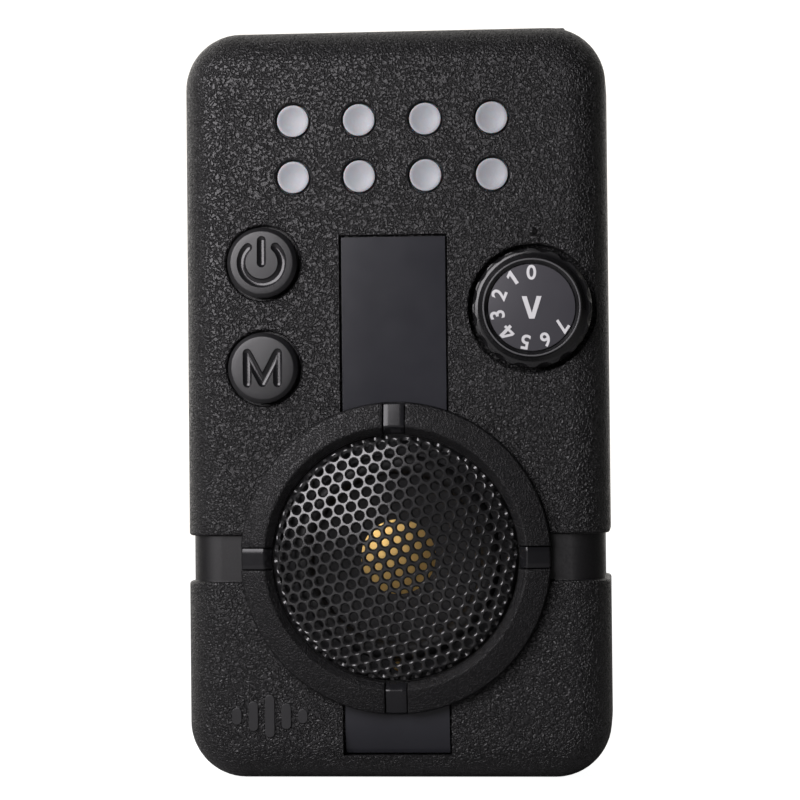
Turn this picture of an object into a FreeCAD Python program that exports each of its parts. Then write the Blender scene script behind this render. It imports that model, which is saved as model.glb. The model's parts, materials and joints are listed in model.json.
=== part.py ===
"""Hand-held electronic game caller: a two-part case with a domed speaker grille, a volume dial,
two push buttons, eight indicator lamps, a headphone socket and a battery bay.

Millimetres. +Z runs up the length of the case, the front faces -Y and the origin is the centre of
the flat bottom end. Every piece is its own solid in parts/NODE.step."""

import FreeCAD, Part
import math
import os

V = FreeCAD.Vector

# ------------------------------------------------------------------ driving dimensions
# case
BODY_W = 66.7
BODY_D = 28.0
BODY_H = 118.0
CORNER_R = 8.85           # corners of the outline, seen from the front
EDGE_R = 6.0              # rounding of the front and rear edges
WALL = 2.2
FRONT = -BODY_D / 2
REAR = BODY_D / 2
INNER = FRONT + WALL      # inside of the front wall
SPLIT = 2.0               # parting plane between the two shells
SEAL_INSET = 1.1
SEAL_W = 0.6
SEAL_DEEP = 0.7
GROOVE_H = 7.2            # smooth grooves round both sides, level with the speaker
GROOVE_DEEP = 0.85
GROOVE_ROUND = 0.5        # rounded mouth of the grooves
GROOVE_REAR_X = 22.0
LIP = 0.25                # broken edge at the mouth of each round hole

# speaker, grille and bezel, all about one axis
SPEAKER_Z = 34.75
BEZEL_R = 24.3
BEZEL_IN_R = 19.35
BEZEL_EDGE_Y = FRONT - 1.1
BEZEL_TOP_Y = FRONT - 2.0
BEZEL_CREST_R = 20.7
SEAT_Y = FRONT + GROOVE_DEEP
NOTCH_FLOOR = SEAT_Y - 1.05
NOTCH_W = 3.6
KEY_W = 3.25
KEY_DROP = 0.3
GRILLE_R = 19.2
GRILLE_RISE = 5.0
GRILLE_T = 0.5
SHOULDER_R = 2.5          # rolled edge of the grille's dome
GRILLE_FLANGE_R = 20.9
OPENING_R = 18.8
FRAME_R = 20.0
FRAME_IN_R = 16.25
CONE_R = 13.1
CONE_EDGE_Y = INNER + 0.6
CONE_NECK_Y = -8.85
CAP_R = 5.9
COIL_R = 5.4
SPEAKER_SCREW_R = 21.6    # pitch radius of the four speaker screws

# centre strip
STRIP_HALF = 8.2
STRIP_GAP = 0.3
STRIP_TOP_Z = 85.0
STRIP_END_Z = 4.2
STRIP_BEND_Z = 9.8
STRIP_BEND_R = 14.0
STRIP_Y = FRONT + 0.4
STRIP_T = 0.8

# lamps
LED_D = 5.0
LED_PITCH_X = 10.42
LED_ROWS_Z = (103.4, 94.55)
LED_HOLE_R = 2.75
LED_FACE_Y = FRONT + 0.25

# push buttons
BUTTON_X = -20.5
POWER_Z = 81.1
MODE_Z = 64.6
BUTTON_HOLE_R = 5.92
BUTTON_R = 5.53
BUTTON_TOP_R = 4.9
BUTTON_PROUD = 1.8
SYMBOL_DEEP = 0.3

# volume dial
DIAL_X = 21.7
DIAL_Z = 73.5
POCKET_R = 10.0
POCKET_FLOOR = FRONT + 2.4
KNOB_R = 9.3
KNOB_PROUD = 2.5
KNOB_LOBES = 16
SCALLOP_R = 1.9
SCALLOP_DEEP = 0.45       # at the front edge of the rim, running out to nothing behind
SCALLOP_RUN = 1.1
PLATE_R = 6.8
PLATE_SUNK = 0.45
LIP_R = 7.5               # crest of the knob's lip round the plate
KNOB_SKIRT_IN_R = 6.8
KNOB_HUB_R = 4.4
SHAFT_R = 3.0
NUT_ACROSS = 9.0          # across the flats of the pot's nut
RUN_FIT = 0.06            # radial running clearance

# circuit board
BOARD_Y = -5.0            # its front face
BOARD_T = 1.2
BOARD_BACK = BOARD_Y + BOARD_T
BOARD_POSTS = ((-10.0, 72.8), (10.4, 62.8), (-26.5, 97.0), (26.5, 97.0))
SWITCH_TOP = BOARD_Y - 3.5  # front of the two tact switches

# headphone socket and its flap
JACK_X = 22.0
JACK_Y = -1.3
JACK_BORE_R = 1.8
JACK_NOSE_R = 2.5
JACK_TOP_Z = 116.7
FLAP_PIN_X = 18.0
FLAP_PIN_Z = 117.45
FLAP_PIN_R = 0.3
FLAP_Y0 = -4.1
FLAP_Y1 = 1.2

# battery bay and door
CELL_D = 10.5
CELL_L = 44.5
CELL_PITCH = 11.2
CELL_Y = 6.7
BAY_HALF = 17.2
BAY_Y0 = 1.2
BAY_Z0 = 15.0
BAY_Z1 = 63.4
TRAY_T = 1.2
SPRING_H = BAY_Z1 - BAY_Z0 - 0.6 - CELL_L
DOOR_HALF = 18.0
DOOR_Y = 12.2
DOOR_Z0 = 12.9
DOOR_PIN_Y = 12.9
DOOR_PIN_Z = 64.5
DOOR_KNUCKLE_R = 1.1
DOOR_PIN_R = 0.6
DOOR_GAP = 0.25

# case screws, three down each side
SCREW_X = 27.8
SCREW_ZS = (8.0, 57.5, 108.0)
SCREW_R = 1.0
SCREW_SEAT = 10.5
BOSS_R = 2.6


# ------------------------------------------------------------------ building blocks
def box(x0, x1, y0, y1, z0, z1):
    return Part.makeBox(x1 - x0, y1 - y0, z1 - z0, V(x0, y0, z0))


def rod_y(x, z, r, y0, y1):
    return Part.makeCylinder(r, y1 - y0, V(x, y0, z), V(0, 1, 0))


def tube(x, z, r_out, r_in, y0, y1):
    return rod_y(x, z, r_out, y0, y1).cut(rod_y(x, z, r_in, y0 - 1, y1 + 1))


def rod_x(y, z, r, x0, x1):
    return Part.makeCylinder(r, x1 - x0, V(x0, y, z), V(1, 0, 0))


def rod_z(x, y, r, z0, z1):
    return Part.makeCylinder(r, z1 - z0, V(x, y, z0), V(0, 0, 1))


def join(solids):
    whole = solids[0]
    if len(solids) > 1:
        whole = whole.multiFuse(solids[1:])
    return whole.removeSplitter()


def straight_edges(solid, axis):
    """The straight edges of a solid that run along one axis."""
    found = []
    for edge in solid.Edges:
        size = edge.BoundBox
        spans = {"x": size.XLength, "y": size.YLength, "z": size.ZLength}
        along = spans.pop(axis)
        if along > 0.01 and max(spans.values()) < 1e-6:
            found.append(edge)
    return found


def rounded_box(x0, x1, y0, y1, z0, z1, corner, axis="y"):
    """A box with its four edges along one axis rounded."""
    solid = box(x0, x1, y0, y1, z0, z1)
    return solid.makeFillet(corner, straight_edges(solid, axis))


def case_form(inset):
    """The outer form of the case, drawn in by inset on every side."""
    half = BODY_W / 2 - inset
    solid = rounded_box(-half, half, FRONT + inset, REAR - inset, inset, BODY_H - inset, CORNER_R - inset)
    rim = [edge for edge in solid.Edges if edge.BoundBox.YLength < 1e-6]
    return solid.makeFillet(EDGE_R - inset, rim)


def turned(profile, x, z):
    """A solid turned about the Y axis through (x, z), from (radius, y) points."""
    points = [V(x + r, y, z) for r, y in profile]
    face = Part.Face(Part.makePolygon(points + points[:1]))
    return face.revolve(V(x, 0, z), V(0, 1, 0), 360)


def turned_edges(edges, x, z):
    face = Part.Face(Part.Wire(edges))
    return face.revolve(V(x, 0, z), V(0, 1, 0), 360)


def plate_from(points, y0, y1):
    """A flat plate with its outline in X and Z, from y0 to y1."""
    outline = [V(x, y0, z) for x, z in points]
    return Part.Face(Part.makePolygon(outline + outline[:1])).extrude(V(0, y1 - y0, 0))


def hole(x, z, r, depth_y):
    """A round hole from the front face to depth_y, with its mouth broken by a small chamfer."""
    cone = Part.makeCone(r + LIP, r, LIP, V(x, FRONT, z), V(0, 1, 0))
    return join([rod_y(x, z, r, FRONT - 3, depth_y), cone])


def spaced_round(shape, x, z, count, start=0.0):
    """Copies of a shape, evenly spaced about the Y axis through (x, z)."""
    copies = []
    for n in range(count):
        one = shape.copy()
        one.rotate(V(x, 0, z), V(0, 1, 0), start + 360.0 * n / count)
        copies.append(one)
    return copies


def wire_run(points, radius, bend):
    """A round wire along straight runs joined by tangent arcs."""
    edges = []
    here = points[0]
    for before, corner, after in zip(points, points[1:], points[2:]):
        back = (before - corner).normalize()
        ahead = (after - corner).normalize()
        half_open = back.getAngle(ahead) / 2
        reach = bend / math.tan(half_open)
        start = corner + back * reach
        end = corner + ahead * reach
        inward = (back + ahead).normalize()
        middle = corner + inward * (bend / math.sin(half_open) - bend)
        edges.append(Part.LineSegment(here, start).toShape())
        edges.append(Part.Arc(start, middle, end).toShape())
        here = end
    edges.append(Part.LineSegment(here, points[-1]).toShape())
    first = points[1] - points[0]
    profile = Part.Wire(Part.Circle(points[0], first, radius).toShape())
    return Part.Wire(edges).makePipeShell([profile], True, True)


# ------------------------------------------------------------------ shared positions
def led_places():
    columns = [LED_PITCH_X * (n - 1.5) for n in range(4)]
    return [(x, z) for z in LED_ROWS_Z for x in columns]


def screw_places():
    return [(side * SCREW_X, z) for z in SCREW_ZS for side in (-1, 1)]


def speaker_screw_places():
    reach = SPEAKER_SCREW_R * math.sin(math.radians(45))
    return [(a * reach, SPEAKER_Z + b * reach) for a in (-1, 1) for b in (-1, 1)]


# ------------------------------------------------------------------ case
def grooved_form():
    """The outer form of the case with a groove round each side, its mouth rounded over."""
    half = GROOVE_H / 2
    band = box(-40, 40, -20, 20, SPEAKER_Z - half, SPEAKER_Z + half).cut(case_form(GROOVE_DEEP))
    form = case_form(0).cut(band.cut(box(-GROOVE_REAR_X, GROOVE_REAR_X, 0, 20, 0, BODY_H)))
    inner = case_form(GROOVE_DEEP / 2)
    mouth = []
    for edge in form.Edges:
        size = edge.BoundBox
        level = size.ZLength < 1e-6 and abs(abs(size.ZMin - SPEAKER_Z) - half) < 1e-6
        middle = edge.valueAt((edge.FirstParameter + edge.LastParameter) / 2)
        if level and not inner.isInside(middle, 1e-3, True):
            mouth.append(edge)
    return form.makeFillet(GROOVE_ROUND, mouth)


def strip_section(back_y, front_y, half_width, end_z):
    """The centre strip between two depths, following its bend at the bottom end."""
    axis_y = STRIP_Y + STRIP_BEND_R

    def bend(y):
        r = axis_y - y
        turn = math.asin((STRIP_BEND_Z - end_z) / r)
        middle = V(-half_width, axis_y - r * math.cos(turn / 2), STRIP_BEND_Z - r * math.sin(turn / 2))
        end = V(-half_width, axis_y - r * math.cos(turn), end_z)
        return V(-half_width, y, STRIP_BEND_Z), middle, end

    def line(a, b):
        return Part.LineSegment(a, b).toShape()

    top_z = STRIP_TOP_Z + half_width - STRIP_HALF
    back_start, back_middle, back_end = bend(back_y)
    back_top = V(-half_width, back_y, top_z)
    if front_y < FRONT:
        front_end = V(-half_width, front_y, end_z)
        front_edges = [line(front_end, V(-half_width, front_y, top_z))]
    else:
        front_start, front_middle, front_end = bend(front_y)
        front_edges = [Part.Arc(front_end, front_middle, front_start).toShape(),
                       line(front_start, V(-half_width, front_y, top_z))]
    edges = [line(back_top, back_start), Part.Arc(back_start, back_middle, back_end).toShape(),
             line(back_end, front_end), *front_edges,
             line(V(-half_width, front_y, top_z), back_top)]
    return Part.Face(Part.Wire(edges)).extrude(V(2 * half_width, 0, 0))


def strip_recess():
    tool = strip_section(STRIP_Y + STRIP_T, FRONT - 2, STRIP_HALF + STRIP_GAP, STRIP_END_Z - STRIP_GAP)
    return tool.cut(rod_y(0, SPEAKER_Z, BEZEL_R + 0.05, FRONT - 3, INNER))


def strip_pieces():
    """The smooth strip, as its long upper inlay and its short, bent lower one."""
    whole = strip_section(STRIP_Y + STRIP_T, STRIP_Y, STRIP_HALF, STRIP_END_Z)
    whole = whole.cut(rod_y(0, SPEAKER_Z, BEZEL_R + 0.05, FRONT - 3, INNER))
    lower, upper = sorted(whole.Solids, key=lambda solid: solid.CenterOfMass.z)
    return upper, lower


def flap_recess():
    y0 = FLAP_Y0 - 0.3
    y1 = FLAP_Y1 + 0.3
    slot = box(FLAP_PIN_X - 1.0, 27.4, y0, y1, FLAP_PIN_Z - 0.55, BODY_H + 1)
    knuckle = rod_y(FLAP_PIN_X, FLAP_PIN_Z, 0.85, y0, y1)
    pin = rod_y(FLAP_PIN_X, FLAP_PIN_Z, FLAP_PIN_R, y0 - 0.6, SPLIT - 0.1)
    nose = rod_z(JACK_X, JACK_Y, JACK_NOSE_R + 0.1, 112.0, BODY_H)
    return join([slot, knuckle, pin, nose])


def seal_ring():
    ring = case_form(SEAL_INSET).cut(case_form(SEAL_INSET + SEAL_W))
    return ring.common(box(-40, 40, SPLIT - SEAL_DEEP, SPLIT, -1, BODY_H + 1))


def front_shell():
    outside = grooved_form()
    shell = outside.cut(case_form(WALL)).common(box(-40, 40, -20, SPLIT, -1, BODY_H + 1))
    into = INNER - 0.5
    posts = [rod_y(x, z, BOSS_R, into, SPLIT) for x, z in screw_places()]
    posts += [rod_y(x, z, 1.5, into, INNER + 1.3) for x, z in speaker_screw_places()]
    posts += [rod_y(x, z, 2.0, into, BOARD_Y) for x, z in BOARD_POSTS]
    pads = [rod_y(DIAL_X, DIAL_Z, POCKET_R + 1.5, into, POCKET_FLOOR + 1.4),
            box(-STRIP_HALF - 1.5, STRIP_HALF + 1.5, into, INNER + 1.6, 1.0, 10.4),
            box(15.6, 26.4, FLAP_Y0 - 1.4, SPLIT, 113.6, BODY_H - 1)]
    inside = [piece.common(outside) for piece in posts + pads]
    bead = Part.makeSphere(0.7, V(DIAL_X + 0.1, FRONT, DIAL_Z + 12.0))
    shell = join([shell, *inside, bead])
    cuts = [seal_ring(), strip_recess(), flap_recess(),
            rod_y(0, SPEAKER_Z, BEZEL_R + 0.05, FRONT - 3, SEAT_Y),
            rod_y(0, SPEAKER_Z, OPENING_R, FRONT - 3, INNER + 1),
            hole(DIAL_X, DIAL_Z, POCKET_R, POCKET_FLOOR),
            rod_y(DIAL_X, DIAL_Z, 3.55, POCKET_FLOOR - 1, POCKET_FLOOR + 2)]
    cuts += [hole(x, z, LED_HOLE_R, INNER + 1) for x, z in led_places()]
    cuts += [hole(BUTTON_X, z, BUTTON_HOLE_R, INNER + 1) for z in (POWER_Z, MODE_Z)]
    cuts += [rod_y(x, z, SCREW_R + 0.02, -8.5, SPLIT + 1) for x, z in screw_places()]
    cuts += [rod_y(x, z, 0.7, INNER - 0.9, INNER + 2) for x, z in speaker_screw_places()]
    cuts += [rod_y(x, z, 0.8, BOARD_Y - 4.5, BOARD_Y + 1) for x, z in BOARD_POSTS]
    for cut in cuts:
        shell = shell.cut(cut)
    return shell


def rear_shell():
    outside = grooved_form()
    shell = outside.cut(case_form(WALL)).common(box(-40, 40, SPLIT, 20, -1, BODY_H + 1))
    wall_y = REAR - WALL
    bosses = [rod_y(x, z, BOSS_R + 0.3, SPLIT, wall_y + 0.5) for x, z in screw_places()]
    inside = [boss.common(outside) for boss in bosses]
    tray = box(-BAY_HALF - TRAY_T, BAY_HALF + TRAY_T, BAY_Y0 - TRAY_T, wall_y + 0.5,
               BAY_Z0 - TRAY_T, BAY_Z1 + TRAY_T)
    ledge = box(-DOOR_HALF - 2.4, DOOR_HALF + 2.4, DOOR_Y - 1.3, wall_y + 0.5,
                DOOR_Z0 - 1.6, DOOR_PIN_Z + 2.6)
    shell = join([shell, *inside, tray, ledge])
    clearance = DOOR_KNUCKLE_R + DOOR_GAP
    half = DOOR_HALF + DOOR_GAP
    mouth = box(-half, half, DOOR_Y, REAR + 1, DOOR_Z0 - DOOR_GAP, DOOR_PIN_Z + clearance)
    cuts = [mouth,
            box(-BAY_HALF, BAY_HALF, BAY_Y0, REAR, BAY_Z0, BAY_Z1),
            rod_x(DOOR_PIN_Y, DOOR_PIN_Z, clearance, -half, half),
            rod_x(DOOR_PIN_Y, DOOR_PIN_Z, DOOR_PIN_R + 0.05, -half - 1.4, half + 1.4)]
    cuts += [rod_y(x, z, SCREW_R + 0.15, SPLIT - 1, SCREW_SEAT + 1) for x, z in screw_places()]
    cuts += [rod_y(x, z, 2.1, SCREW_SEAT, REAR + 1) for x, z in screw_places()]
    for cut in cuts:
        shell = shell.cut(cut)
    ribs = [box(side * 5.6 - 0.4, side * 5.6 + 0.4, BAY_Y0 - 0.2, BAY_Y0 + 1.4, BAY_Z0 + 6, BAY_Z1 - 6)
            for side in (-1, 1)]
    return join([shell, *ribs])


def case_screws():
    screws = []
    for x, z in screw_places():
        head = rod_y(x, z, 1.9, SCREW_SEAT, SCREW_SEAT + 1.5)
        slot = box(x - 1.3, x + 1.3, SCREW_SEAT + 0.9, SCREW_SEAT + 2, z - 0.25, z + 0.25)
        cross = box(x - 0.25, x + 0.25, SCREW_SEAT + 0.9, SCREW_SEAT + 2, z - 1.3, z + 1.3)
        screws.append(join([head, rod_y(x, z, SCREW_R, -8.0, SCREW_SEAT)]).cut(slot).cut(cross))
    return Part.makeCompound(screws)


def level_mark():
    """Five rising and falling bars, raised on the lower left of the face."""
    bars = []
    for n, height in enumerate((2.6, 4.6, 6.6, 4.0, 2.2)):
        x = -25.2 + 2.6 * n
        bars.append(rounded_box(x - 0.75, x + 0.75, FRONT - 0.25, FRONT, 10.1 - height / 2,
                                10.1 + height / 2, 0.7))
    return Part.makeCompound(bars)


# ------------------------------------------------------------------ speaker and grille
def bezel_section(drop, floor_y):
    """The top of the bezel, lowered by drop and cut off at floor_y."""
    return [(BEZEL_R - 0.1, floor_y), (BEZEL_R - 0.1, BEZEL_EDGE_Y + drop),
            (BEZEL_R - 0.3, BEZEL_EDGE_Y - 0.25 + drop), (BEZEL_CREST_R, BEZEL_TOP_Y + drop),
            (BEZEL_CREST_R - 0.25, BEZEL_TOP_Y + 0.05 + drop), (BEZEL_IN_R + 0.1, BEZEL_TOP_Y + 1.1 + drop),
            (BEZEL_IN_R + 0.1, floor_y)]


def speaker_bezel():
    flange_top = SEAT_Y - GRILLE_T
    profile = [(BEZEL_R, SEAT_Y), (BEZEL_R, BEZEL_EDGE_Y), (BEZEL_R - 0.2, BEZEL_EDGE_Y - 0.25),
               (BEZEL_CREST_R, BEZEL_TOP_Y), (BEZEL_CREST_R - 0.25, BEZEL_TOP_Y + 0.05),
               (BEZEL_IN_R, BEZEL_TOP_Y + 1.1), (BEZEL_IN_R, flange_top),
               (GRILLE_FLANGE_R + 0.1, flange_top), (GRILLE_FLANGE_R + 0.1, SEAT_Y)]
    ring = turned(profile, 0, SPEAKER_Z)
    ring = ring.cut(tube(0, SPEAKER_Z, 23.5, 21.5, NOTCH_FLOOR, SEAT_Y + 1))
    notch = box(-NOTCH_W / 2, NOTCH_W / 2, FRONT - 4, NOTCH_FLOOR, SPEAKER_Z + 18, SPEAKER_Z + 26)
    for cut in spaced_round(notch, 0, SPEAKER_Z, 4):
        ring = ring.cut(cut)
    return ring


def grille_retainer():
    ring = tube(0, SPEAKER_Z, 23.45, 21.55, NOTCH_FLOOR + 0.05, SEAT_Y)
    face = turned(bezel_section(KEY_DROP, NOTCH_FLOOR + 0.05), 0, SPEAKER_Z)
    foot = turned([(23.45, NOTCH_FLOOR + 0.2), (23.45, NOTCH_FLOOR), (21.55, NOTCH_FLOOR),
                   (21.55, NOTCH_FLOOR + 0.2)], 0, SPEAKER_Z)
    width = box(-KEY_W / 2, KEY_W / 2, FRONT - 4, SEAT_Y, SPEAKER_Z + 18, SPEAKER_Z + 26)
    keys = [face.common(one) for one in spaced_round(width, 0, SPEAKER_Z, 4)]
    keys += [foot.common(one) for one in spaced_round(width, 0, SPEAKER_Z, 4)]
    lifted = [key.cut(tube(0, SPEAKER_Z, 30, 23.45, NOTCH_FLOOR, SEAT_Y)) for key in keys]
    clear = [key.cut(rod_y(0, SPEAKER_Z, 21.55, NOTCH_FLOOR, SEAT_Y)) for key in lifted]
    return join([ring, *clear])


def speaker_grille():
    """A shallow dome with a rolled shoulder, on a flat flange that the bezel clamps."""
    base_y = SEAT_Y - GRILLE_T
    shoulder_x = GRILLE_R - SHOULDER_R
    crown_r = (shoulder_x ** 2 - SHOULDER_R ** 2 + GRILLE_RISE ** 2) / (2 * (GRILLE_RISE - SHOULDER_R))
    crown_y = base_y - GRILLE_RISE + crown_r
    lean = math.asin(shoulder_x / (crown_r - SHOULDER_R))

    def on_crown(angle, inset):
        r = crown_r - inset
        return V(r * math.sin(angle), crown_y - r * math.cos(angle), SPEAKER_Z)

    def on_shoulder(angle, inset):
        r = SHOULDER_R - inset
        return V(shoulder_x + r * math.sin(angle), base_y - r * math.cos(angle), SPEAKER_Z)

    def arch(inset):
        right = math.radians(90)
        halfway = (lean + right) / 2
        crown = Part.Arc(on_crown(0, inset), on_crown(lean / 2, inset), on_crown(lean, inset))
        shoulder = Part.Arc(on_crown(lean, inset), on_shoulder(halfway, inset), on_shoulder(right, inset))
        return [crown.toShape(), shoulder.toShape()]

    corners = [on_shoulder(math.radians(90), GRILLE_T), V(GRILLE_R - GRILLE_T, SEAT_Y, SPEAKER_Z),
               V(GRILLE_FLANGE_R, SEAT_Y, SPEAKER_Z), V(GRILLE_FLANGE_R, base_y, SPEAKER_Z),
               V(GRILLE_R, base_y, SPEAKER_Z)]
    flange = [Part.LineSegment(a, b).toShape() for a, b in zip(corners, corners[1:])]
    axis = Part.LineSegment(on_crown(0, 0), on_crown(0, GRILLE_T)).toShape()
    edges = Part.sortEdges([*arch(0), *flange, *arch(GRILLE_T), axis])[0]
    return turned_edges(edges, 0, SPEAKER_Z)


def speaker_frame():
    front = INNER + 0.5
    back = front + 0.8
    floor = -6.0
    profile = [(FRAME_R, front), (FRAME_R, back), (17.2, back), (10.5, floor), (6.2, floor),
               (6.2, floor - 0.7), (10.1, floor - 0.7), (FRAME_IN_R, back - 0.2), (FRAME_IN_R, front)]
    basket = turned(profile, 0, SPEAKER_Z)
    window = box(-4.0, 4.0, back + 0.6, floor - 1.0, SPEAKER_Z + 8, SPEAKER_Z + 20)
    for cut in spaced_round(window, 0, SPEAKER_Z, 4, 45.0):
        basket = basket.cut(cut)
    return basket


def speaker_surround():
    middle_r = (FRAME_IN_R + CONE_R + 0.05) / 2
    roll = (FRAME_IN_R - CONE_R - 0.05) / 2
    base_y = INNER + 0.7

    def half_roll(radius):
        return Part.Arc(V(middle_r - radius, base_y, SPEAKER_Z), V(middle_r, base_y - radius, SPEAKER_Z),
                        V(middle_r + radius, base_y, SPEAKER_Z)).toShape()

    def end(side):
        return Part.LineSegment(V(middle_r + side * roll, base_y, SPEAKER_Z),
                                V(middle_r + side * (roll - 0.3), base_y, SPEAKER_Z)).toShape()

    return turned_edges([half_roll(roll), end(1), half_roll(roll - 0.3), end(-1)], 0, SPEAKER_Z)


def speaker_cone():
    profile = [(CONE_R, CONE_EDGE_Y), (CONE_R, CONE_EDGE_Y + 0.35), (COIL_R - 0.1, CONE_NECK_Y + 0.35),
               (COIL_R - 0.1, CONE_NECK_Y)]
    return turned(profile, 0, SPEAKER_Z)


def dust_cap():
    rim_y = CONE_NECK_Y - 0.21
    rise = 1.25
    ball_r = (CAP_R ** 2 + rise ** 2) / (2 * rise)
    centre = V(0, rim_y - rise + ball_r, SPEAKER_Z)
    outer = Part.makeSphere(ball_r, centre)
    inner = Part.makeSphere(ball_r - 0.3, centre)
    return outer.cut(inner).common(box(-20, 20, rim_y - 3, rim_y, 0, 80))


def voice_coil():
    return tube(0, SPEAKER_Z, COIL_R, COIL_R - 0.4, CONE_NECK_Y + 0.36, -5.0)


def speaker_magnet():
    gap = tube(0, SPEAKER_Z, COIL_R + 0.3, COIL_R - 0.7, -7.0, -4.2)
    return rod_y(0, SPEAKER_Z, 10.5, -6.0, -2.4).cut(gap)


def terminal_board():
    y = INNER + 1.3
    return box(-4.0, 4.0, y, y + 1.0, SPEAKER_Z - FRAME_R, SPEAKER_Z - 17.5)


def speaker_terminals():
    y = INNER + 2.3
    z = SPEAKER_Z - 19.6
    tabs = [box(x - 0.7, x + 0.7, y, y + 0.4, z, z + 1.8) for x in (-2.6, 2.6)]
    rivet = Part.makeSphere(0.75, V(0, INNER + 0.5, SPEAKER_Z - 17.1))
    head = rivet.common(box(-2, 2, INNER - 1, INNER + 0.5, 0, 80))
    return Part.makeCompound([*tabs, head])


def speaker_screws():
    seat = INNER + 1.3
    screws = []
    for x, z in speaker_screw_places():
        head = rod_y(x, z, 2.2, seat, seat + 0.8)
        screws.append(join([head, rod_y(x, z, 0.7, INNER - 0.7, seat)]))
    return Part.makeCompound(screws)


# ------------------------------------------------------------------ lamps and buttons
def led(x, z):
    lens = rod_y(x, z, LED_D / 2, LED_FACE_Y, INNER + 3.2)
    lens = join([lens, rod_y(x, z, LED_D / 2 + 0.4, INNER + 0.1, INNER + 1.0)])
    dish_r = 14.0
    return lens.cut(Part.makeSphere(dish_r, V(x, LED_FACE_Y - dish_r + 0.15, z)))


def led_leads():
    leads = []
    for x, z in led_places():
        leads += [rod_y(x + side * 1.27, z, 0.25, INNER + 3.2, BOARD_Y) for side in (-1, 1)]
    return Part.makeCompound(leads)


def power_symbol(y0, y1):
    """An open ring with a bar through the gap, as a cutter."""
    middle_r = 3.1
    half_w = 0.65
    gap = 42.0
    ring = tube(BUTTON_X, POWER_Z, middle_r + half_w, middle_r - half_w, y0, y1)
    reach = 6.0
    side = reach * math.tan(math.radians(gap))
    wedge = plate_from([(BUTTON_X, POWER_Z), (BUTTON_X - side, POWER_Z + reach),
                        (BUTTON_X + side, POWER_Z + reach)], y0 - 1, y1 + 1)
    pieces = [ring.cut(wedge)]
    for way in (-1, 1):
        x = BUTTON_X + way * middle_r * math.sin(math.radians(gap))
        z = POWER_Z + middle_r * math.cos(math.radians(gap))
        pieces.append(rod_y(x, z, half_w, y0, y1))
    pieces.append(rounded_box(BUTTON_X - 0.7, BUTTON_X + 0.7, y0, y1, POWER_Z - 0.8, POWER_Z + 3.8, 0.3))
    return join(pieces)


def mode_symbol(y0, y1):
    """A plain capital M, as a cutter."""
    half = 2.9
    tall = 2.7
    stroke = 1.25
    left = [(-half, -tall), (-half, tall), (-half + 1.55, tall), (0, -0.75), (0, -tall),
            (-0.62, -tall), (-half + stroke, 0.9), (-half + stroke, -tall)]
    right = [(-x, z) for x, z in reversed(left)]
    points = [(BUTTON_X + x, MODE_Z + z) for x, z in left]
    mirrored = [(BUTTON_X + x, MODE_Z + z) for x, z in right]
    return join([plate_from(points, y0, y1), plate_from(mirrored, y0, y1)])


def button(z, symbol):
    """A cap held behind the face by its flange, hollow, with a stem to its switch."""
    top = FRONT - BUTTON_PROUD
    flange = INNER + 0.1
    base = flange + 0.8
    profile = [(0, top), (BUTTON_TOP_R, top), (BUTTON_TOP_R + 0.35, top + 0.12),
               (BUTTON_R, top + 0.5), (BUTTON_R, flange), (BUTTON_R + 1.0, flange),
               (BUTTON_R + 1.0, base), (4.3, base), (4.3, top + 1.5), (1.4, top + 1.5),
               (1.4, SWITCH_TOP - 0.9), (0, SWITCH_TOP - 0.9)]
    return turned(profile, BUTTON_X, z).cut(symbol(top - 1, top + SYMBOL_DEEP))


def switch(z):
    body = box(BUTTON_X - 3, BUTTON_X + 3, SWITCH_TOP, BOARD_Y, z - 3, z + 3)
    return body.cut(rod_y(BUTTON_X, z, 1.76, SWITCH_TOP - 1, SWITCH_TOP + 1.9))


def plunger(z):
    return rod_y(BUTTON_X, z, 1.7, SWITCH_TOP - 0.9, SWITCH_TOP + 0.9)


# ------------------------------------------------------------------ volume dial
def volume_knob():
    top = FRONT - KNOB_PROUD
    skirt = POCKET_FLOOR - 0.25
    floor = top + PLATE_SUNK + 0.45
    hub_end = POCKET_FLOOR - 1.5
    profile = [(PLATE_R + 0.05, floor), (PLATE_R + 0.05, top + PLATE_SUNK + 0.05), (LIP_R - 0.1, top),
               (LIP_R + 0.1, top), (LIP_R + 0.3, top + 0.3), (KNOB_R - 0.55, top + 1.2),
               (KNOB_R - 0.1, top + 1.35), (KNOB_R, top + 1.6), (KNOB_R, skirt), (KNOB_SKIRT_IN_R, skirt),
               (KNOB_SKIRT_IN_R, top + 2.3), (KNOB_HUB_R, top + 2.3), (KNOB_HUB_R, hub_end),
               (SHAFT_R, hub_end), (SHAFT_R, top + 1.2), (0, top + 1.2), (0, floor)]
    knob = turned(profile, DIAL_X, DIAL_Z)
    run_out = V(DIAL_X, top + 1.2 + SCALLOP_RUN, DIAL_Z + KNOB_R + SCALLOP_R)
    scallop = Part.makeCylinder(SCALLOP_R, 4, run_out, V(0, -SCALLOP_RUN, -SCALLOP_DEEP))
    for cut in spaced_round(scallop, DIAL_X, DIAL_Z, KNOB_LOBES, 180.0 / KNOB_LOBES):
        knob = knob.cut(cut)
    return knob


def dial_plate():
    front = FRONT - KNOB_PROUD + PLATE_SUNK
    return rod_y(DIAL_X, DIAL_Z, PLATE_R, front, front + 0.45)


def pot_shaft():
    return rod_y(DIAL_X, DIAL_Z, SHAFT_R, FRONT - KNOB_PROUD + 1.2, -7.2)


def pot_body():
    case = box(DIAL_X - 5.5, DIAL_X + 5.5, POCKET_FLOOR + 1.4, BOARD_Y, DIAL_Z - 6, DIAL_Z + 6)
    bush = rod_y(DIAL_X, DIAL_Z, 3.5, POCKET_FLOOR - 1.3, POCKET_FLOOR + 1.5)
    bore = rod_y(DIAL_X, DIAL_Z, SHAFT_R + RUN_FIT, -15, -7.0)
    return join([case, bush]).cut(bore)


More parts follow.
